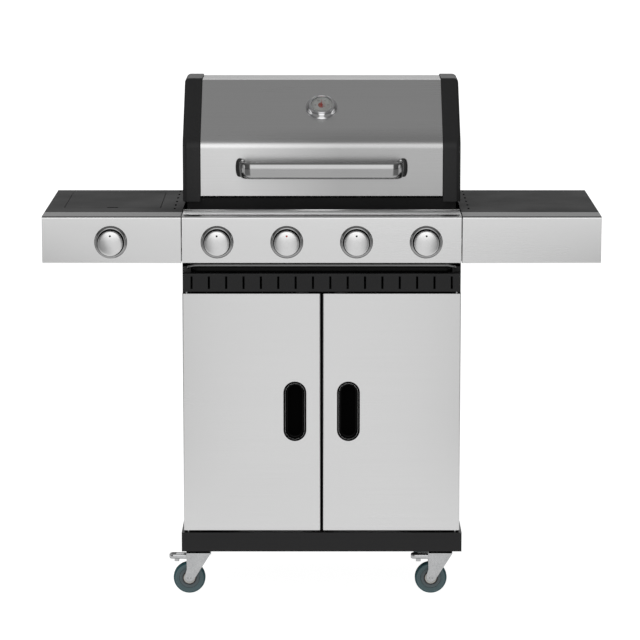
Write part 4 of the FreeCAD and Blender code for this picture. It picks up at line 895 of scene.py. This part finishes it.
def makePulls():
    for word in ("left", "right"):
        low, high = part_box("pull_" + word)
        face = low.y + 2 * mm
        rings = []
        for inset, out in pullSteps:
            ring = obroundRing((low.x + high.x) / 2, (low.z + high.z) / 2, high.x - low.x - 2 * inset * mm,
                               high.z - low.z - 2 * inset * mm, 24)
            rings.append([Vector((p.x, face - out * mm, p.y)) for p in ring])
        mesh = loft("pull", rings, capStart=True, capEnd=True)
        # the floor of the recess takes pullShadow, near black with almost no sheen: painted shade
        for polygon in mesh.polygons:
            polygon.material_index = 1 if polygon.center.y > face + 11.7 * mm else 0
        piece("pull_" + word, mesh, ["pullBlack", "pullShadow"], "pull_" + word, angle=30)


makePulls()

# drip tray
tray = {"corner": 14 * mm, "floorTurn": 7 * mm, "half": 298 * mm, "frontIn": 5.2 * mm, "topIn": 1.6 * mm,
        "lip": 2.9 * mm, "lipHalf": 309 * mm, "lipUp": 2.2 * mm, "lipBend": 16 * mm, "lipTurn": 8 * mm,
        "rimAt": 305 * mm, "rimHalf": 6.6 * mm, "rimThick": 1.3 * mm, "rimStart": 20 * mm}


def makeTray():
    low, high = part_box("drip_tray")
    half, y0, y1 = tray["half"], low.y + tray["frontIn"], high.y
    top, bottom, turn = high.z - tray["topIn"], low.z, tray["floorTurn"]

    def ring(inset, z):
        box = boxRing(inset - half, half - inset, y0 + inset, y1 - inset, tray["corner"], 6)
        return [Vector((p.x, p.y, z)) for p in box]

    rings = [ring(0.3 * mm, top)]
    for k in range(7):
        t = math.pi / 2 * k / 6
        rings.append(ring(1.2 * mm + turn * (1 - math.cos(t)), bottom + turn * (1 - math.sin(t))))
    mesh = loft("dripTray", rings, capEnd=True)
    # tray, rims and web take the near-black painted shade finish
    piece("dripTray", mesh, "trayDark", "drip_tray", wall=-1.1 * mm)
    rims = []
    for x in (-tray["rimAt"], tray["rimAt"]):
        start = (x - tray["rimHalf"], y0 + tray["rimStart"], top - tray["rimThick"])
        rims.append(blockMesh("rim", start, (x + tray["rimHalf"], y1, top), 1 * mm))
    piece("dripTrayRims", joined("rims", rims), "trayDark", "drip_tray", replaces=[], bevel=0.4 * mm)
    r = tray["lip"]
    y, z, end = low.y + r, high.z + tray["lipUp"], tray["lipHalf"] - r
    ends = [(end, y + 9 * mm, z - 7 * mm), (end, y + 1 * mm, z - 3 * mm), (end - tray["lipBend"], y, z)]
    path = roundCorners([(-x, y, z) for x, y, z in ends] + ends[::-1], tray["lipTurn"], 6)
    piece("dripTrayLip", sweep("lip", path, circle(r, 16)), "lipSteel", "drip_tray", replaces=[])
    line = [(y, z - r + 0.5 * mm), (y + 2 * mm, z - 5 * mm), (y0 + 2 * mm, top - 0.4 * mm)]
    link = sheetX("lipWeb", line, -half, half)
    piece("dripTrayWeb", link, "trayDark", "drip_tray", replaces=[], wall=1 * mm)


makeTray()

# wheels
tyreSide = [(24, 9.6), (24.6, 10.3), (28.6, 10.5), (29.3, 11), (33.4, 10.8), (35.6, 9.4), (36.9, 6.8), (37.3, 4.4),
            (37.0, 4.0), (37.5, 3.4), (37.5, 0.5)]
hubSide = [(4.3, 10.9), (12.6, 10.9), (13.4, 10.4), (13.6, 8.6), (16.2, 8.4), (16.4, 10), (17, 10.4),
           (23.2, 10.2), (23.9, 9.4)]


def mirrored(points):
    return scaled([(a, b) for a, b in points] + [(a, -b) for a, b in reversed(points)])


places = ("front_left", "front_right", "rear_left", "rear_right")
caster = {"trail": 27 * mm, "radius": 37.5 * mm, "top": 106.8 * mm, "leg": 14.3 * mm, "thick": 2.4 * mm,
          "crownTurn": 4 * mm, "crownBack": -33.5 * mm, "crownFront": 22.5 * mm, "wallEnd": 32 * mm,
          "axle": 4 * mm, "rivetApart": 3.4 * mm}


def casterSeat(place):
    # a caster is made with its swivel at the origin and its wheel on the -X side, then set in its place
    swivel = jointPlace[f"caster_{place}_swivel"]
    reach = jointPlace[f"caster_{place}_spin"] - swivel
    turn = math.atan2(reach.y, reach.x) - math.pi
    return Matrix.Translation((swivel.x, swivel.y, 0)) @ Matrix.Rotation(turn, 4, "Z")


def makeFork(place):
    # a stamped fork: one strip over the top with both its legs, bent round the wheel
    top, z, x, thick = caster["top"], caster["radius"], -caster["trail"], caster["thick"]
    side = roundCorners([(-34 * mm, top, 0), (23 * mm, top, 0), (23 * mm, top - 10 * mm, 0),
                         (x + 11.5 * mm, z - 2 * mm, 0),
                         (x, z - 10.5 * mm, 0), (x - 10 * mm, z - 2 * mm, 0), (x - 10 * mm, z + 9 * mm, 0),
                         (x - 6 * mm, z + 22 * mm, 0)],
                        [1 * mm, 3 * mm, 6 * mm, 9 * mm, 9 * mm, 9 * mm, 6 * mm, 6 * mm], 6, True)
    stand = Matrix(((1, 0, 0, 0), (0, 0, 1, 0), (0, 1, 0, 0), (0, 0, 0, 1)))
    parts = [moved(plateMesh("leg", side, [], thick, Matrix(), 0.5 * mm),
                   stand @ Matrix.Translation((0, 0, y * caster["leg"] + thick / 2))) for y in (-1, 1)]
    ends = caster["leg"] + thick / 2
    crown = roundCorners([(-ends, top - 9 * mm, 0), (-ends, top, 0), (ends, top, 0), (ends, top - 9 * mm, 0)],
                         caster["crownTurn"], 6)
    axleHalf = ends - 0.6 * mm
    inner = [Vector((p.x * (1 - thick / ends), p.y - thick * (1 if abs(p.x) < ends * 0.8 else 0.4), 0))
             for p in reversed(crown)]
    strip = [[Vector((reach, p.x, p.y)) for p in crown + inner]
             for reach in (caster["crownBack"], caster["crownFront"])]
    parts.append(loft("crown", strip, capStart=True, capEnd=True))
    king = scaled([(0, 0), (8.5, 0), (8.5, 2), (7, 4), (0, 4.2)])
    parts.append(lathe("king", king, along("-z", (0, 0, top - 2 * mm)), 32))
    axle = [(0, 0), (caster["axle"], 0), (caster["axle"], 2 * axleHalf), (0, 2 * axleHalf)]
    parts.append(lathe("axle", axle, along("y", (x, -axleHalf, z)), 24))
    for y, way in ((-1, "-y"), (1, "y")):
        for apart in (-caster["rivetApart"], caster["rivetApart"]):
            parts.append(lathe("rivet", scaled([(0, 1), (1, 0.8), (1.5, 0), (1.5, -0.5), (0, -0.5)]),
                               along(way, (x + apart, y * (ends + 0.1 * mm), z + 0.5 * mm)), 12))
    mesh = cleaned(moved(joined("fork", parts), casterSeat(place)), merge=False)
    piece("fork_" + place, mesh, "zinc", "fork_" + place, bevel=0.3 * mm, segments=2)


pedal = {"bottom": 84.5 * mm, "top": 93.5 * mm, "wall": 1.2 * mm, "tipTurn": 9 * mm, "backTurn": 2 * mm,
         "padIn": 2 * mm, "padLong": 15 * mm, "padUp": 0.8 * mm, "shoeIn": 11 * mm, "shoeLong": 11 * mm,
         "shoeWide": 14 * mm, "shoeLow": 76.5 * mm}


def makePedal(place):
    # a stamped foot lever with turned-down sides and a black pad at its tip
    node = "brake_pedal_" + place
    low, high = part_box(node)

    def outline(inset, end):
        tip, back = pedal["tipTurn"] - inset, pedal["backTurn"]
        return roundCorners([(low.x + inset, low.y + inset, 0), (end, low.y + inset, 0), (end, high.y - inset, 0),
                             (low.x + inset, high.y - inset, 0)], [tip, back, back, tip], 8, True)

    steps = [(0.5 * mm, pedal["bottom"]), (0, pedal["bottom"] + 2 * mm), (0, pedal["top"] - 2 * mm),
             (0.6 * mm, pedal["top"] - 0.6 * mm), (2 * mm, pedal["top"])]
    mesh = loft("pedal", [[Vector((p.x, p.y, z)) for p in outline(inset, high.x)] for inset, z in steps], capEnd=True)
    piece("brakePedal_" + place, mesh, "zinc", node, wall=-pedal["wall"])
    steps = [(pedal["padIn"], pedal["top"] - 0.5 * mm), (pedal["padIn"], pedal["top"] + pedal["padUp"]),
             (pedal["padIn"] + 0.8 * mm, pedal["top"] + pedal["padUp"] + 0.8 * mm)]
    pad = loft("pad", [[Vector((p.x, p.y, z)) for p in outline(inset, low.x + pedal["padLong"])] for inset, z in steps],
               capStart=True, capEnd=True)
    piece("brakePad_" + place, pad, "blackPlastic", node, replaces=[])
    start, middle, half = low.x + pedal["shoeIn"], (low.y + high.y) / 2, pedal["shoeWide"] / 2
    shoe = blockMesh("shoe", (start, middle - half, pedal["shoeLow"]),
                     (start + pedal["shoeLong"], middle + half, pedal["top"] - pedal["wall"] - 0.2 * mm), 2 * mm)
    piece("brakeShoe_" + place, shoe, "zinc", node, replaces=[], bevel=0.8 * mm)


def wheelRadius(polygon, middle):
    return math.hypot(polygon.center.x - middle.x, polygon.center.z - middle.z)


def makeWheels():
    for place in places:
        node = "wheel_" + place
        middle = Vector((-caster["trail"], 0, caster["radius"]))
        tyre = lathe("tyre_" + place, mirrored(tyreSide), along("-y", middle), 72, True)
        for polygon in tyre.polygons:
            polygon.material_index = 1 if wheelRadius(polygon, middle) < caster["wallEnd"] else 0
        piece("tyre_" + place, moved(tyre, casterSeat(place)), ["tyreRubber", "tyreWall"], node, angle=40)
        hub = lathe("hub", mirrored(hubSide), along("-y", middle), 48, True)
        # the groove ring between 13.5 and 16.1 mm takes hubShadow, a dark brown: painted shade
        for polygon in hub.polygons:
            radius = wheelRadius(polygon, middle)
            polygon.material_index = 2 if radius > 16.1 * mm else 1 if radius > 13.5 * mm else 0
        hubSkins = ["hubPlastic", "hubShadow", "tyreEdge"]
        piece("hub_" + place, moved(hub, casterSeat(place)), hubSkins, node, replaces=[], angle=40)
        makeFork(place)
        if place.startswith("front"):
            makePedal(place)


makeWheels()
print("pulls, tray and wheels made")

# burners and rack
burner = {"radius": 12.5 * mm, "wall": 1 * mm, "portRadius": 1 * mm, "ports": 30, "portStep": 9 * mm,
          "portStart": 75 * mm, "portIn": 9 * mm, "portOut": 14 * mm}
rack = {"rail": 2.5 * mm, "wire": 1.75 * mm, "leg": 3 * mm, "half": 266 * mm, "turn": 12 * mm,
        "first": -247 * mm, "step": 19 * mm, "wires": 27}


def makeBurners():
    low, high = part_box("burner_tubes")
    radius, length = burner["radius"], high.y - low.y
    x, z = low.x + radius, (low.z + high.z) / 2
    tube = lathe("tube", [(radius, 0), (radius, length - 1.5 * mm), (radius - 1.5 * mm, length), (0, length),
                          (0, length - 1 * mm), (radius - burner["wall"], length - 2 * mm),
                          (radius - burner["wall"], 0)],
                 along("y", (x, low.y, z)), 40, True)
    cutters = []
    for lean in (-50, 50):
        start, end, wide = burner["portIn"], burner["portOut"], burner["portRadius"]
        port = lathe("port", [(0, start), (wide, start), (wide, end), (0, end)],
                     Matrix.Rotation(math.radians(lean), 4, "Y"), 6)
        cutters.append(row("ports", port, (x, low.y + burner["portStart"], z), (0, burner["portStep"], 0),
                           burner["ports"], "heatedSteel"))
    tube = drilled(tube, joined("cutters", cutters))
    apart = (high.x - low.x - 2 * radius) / 3
    tubes = row("burnerTubes", tube, (0, 0, 0), (apart, 0, 0), 4, "heatedSteel")
    piece("burnerTubes", tubes, "heatedSteel", "burner_tubes", angle=30)


def makeRack():
    low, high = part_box("warming_rack")
    rail, wire, half = rack["rail"], rack["wire"], rack["half"]
    frontY, backY = low.y + rack["leg"], high.y - rack["leg"]
    z = high.z - wire - rail
    parts = []
    for y in (frontY, backY):
        path = roundCorners([(-half, y, low.z), (-half, y, z), (half, y, z), (half, y, low.z)], rack["turn"], 10)
        parts.append(sweep("rail", path, circle(rail, 12), up=Vector((0, 1, 0))))
    line = [Vector((0, y, z + rail)) for y in (frontY - 1 * mm, backY + 1 * mm)]
    parts.append(row("wires", sweep("wire", line, circle(wire, 10)), (rack["first"], 0, 0), (rack["step"], 0, 0),
                     rack["wires"], "wireChrome"))
    piece("warmingRack", joined("warmingRack", parts), "wireChrome", "warming_rack")


makeBurners()
makeRack()
print("burners and rack made")

# screws and bolts
screws = {"column": 309.5 * mm, "first": 200 * mm, "step": 172.333 * mm, "rows": 4, "boltIn": 24 * mm,
          "plateAt": 283.5 * mm, "boltTop": 113.5 * mm}


def makeScrews():
    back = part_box("cart_back")[1].y
    dome = scaled([(0, 1.2), (1.2, 1.2), (1.9, 2.7), (3.2, 2.4), (4.4, 1.6), (5, 0.6), (5, 0), (0, 0)])
    head = lathe("screwHead", dome, along("y", (0, back, 0)), 24)
    parts = [row("screws", head, (x, 0, screws["first"]), (0, 0, screws["step"]), screws["rows"], "zinc")
             for x in (-screws["column"], screws["column"])]
    cap = scaled([(0, 3), (4.3, 3), (5, 2.5), (5, 0), (0, 0)])
    bolt = lathe("boltHead", cap, along("-z", (0, 0, screws["boltTop"])), 6)
    for place in places:
        low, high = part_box("fork_" + place)
        y = (low.y + high.y) / 2
        x = screws["plateAt"] if "right" in place else -screws["plateAt"]
        for side in (-1, 1):
            parts.append(row("bolts", bolt, (x - screws["boltIn"], y + side * screws["boltIn"], 0),
                             (2 * screws["boltIn"], 0, 0), 2, "zinc"))
    piece("screws", joined("screws", parts), "zinc", "fasteners", bevel=0.2 * mm, segments=1)


makeScrews()

# sheet metal and the plain castings, in their own finish
sheetPieces = {  # finish, then node and edge radius in mm
    "brushedSteel": {"control_panel": 0.5, "fascia_left": 1.2, "fascia_right": 1.2, "door_left": 0.35,
        "door_right": 0.35},
    "shelfBlack": {"shelf_left": 0.5, "shelf_right": 0.5, "side_burner_lid": 0.5},
    "blackEnamel": {"side_burner_well": 0.4, "front_rail": 0.5, "cart_base": 0.6, "cart_sides": 0.5,
        "cart_back": 0.4, "firebox_brackets": 0.6},
    "brass": {"side_burner_head": 0.8, "gas_valves": 0.8},
    "castIron": {"side_burner_stand": 1.0, "cooking_grates": 1.2},
    "fireboxBlack": {"firebox": 0.6},
    "heatedSteel": {"flame_tamers": 0.4, "gas_manifold": 0.8},
    "zinc": {"hinge_pins": 0.2, "caster_plates": 0.4,
        **{f"valve_stem_{number}": 0.3 for number in range(1, 6)}},
    "blackPlastic": {"door_magnets": 0.6},
}
# the fascias' faces that look up take the darker steel: painted reflection
paintedReflectionTops = {"fascia_left": "topPaintedReflectionSteel", "fascia_right": "topPaintedReflectionSteel"}  # of the faces that look up


def camel(node):
    words = node.split("_")
    return words[0] + "".join(word.capitalize() for word in words[1:])


for skin, group in sheetPieces.items():
    for node, edge in group.items():
        mesh = cadCopy(node)
        coats = [skin, paintedReflectionTops[node]] if node in paintedReflectionTops else skin
        for polygon in mesh.polygons:
            polygon.material_index = 1 if node in paintedReflectionTops and polygon.normal.z > 0.7 else 0
        piece(camel(node), mesh, coats, node, bevel=edge * mm, segments=2)
print("sheet metal made:", sum(len(group) for group in sheetPieces.values()), "pieces")
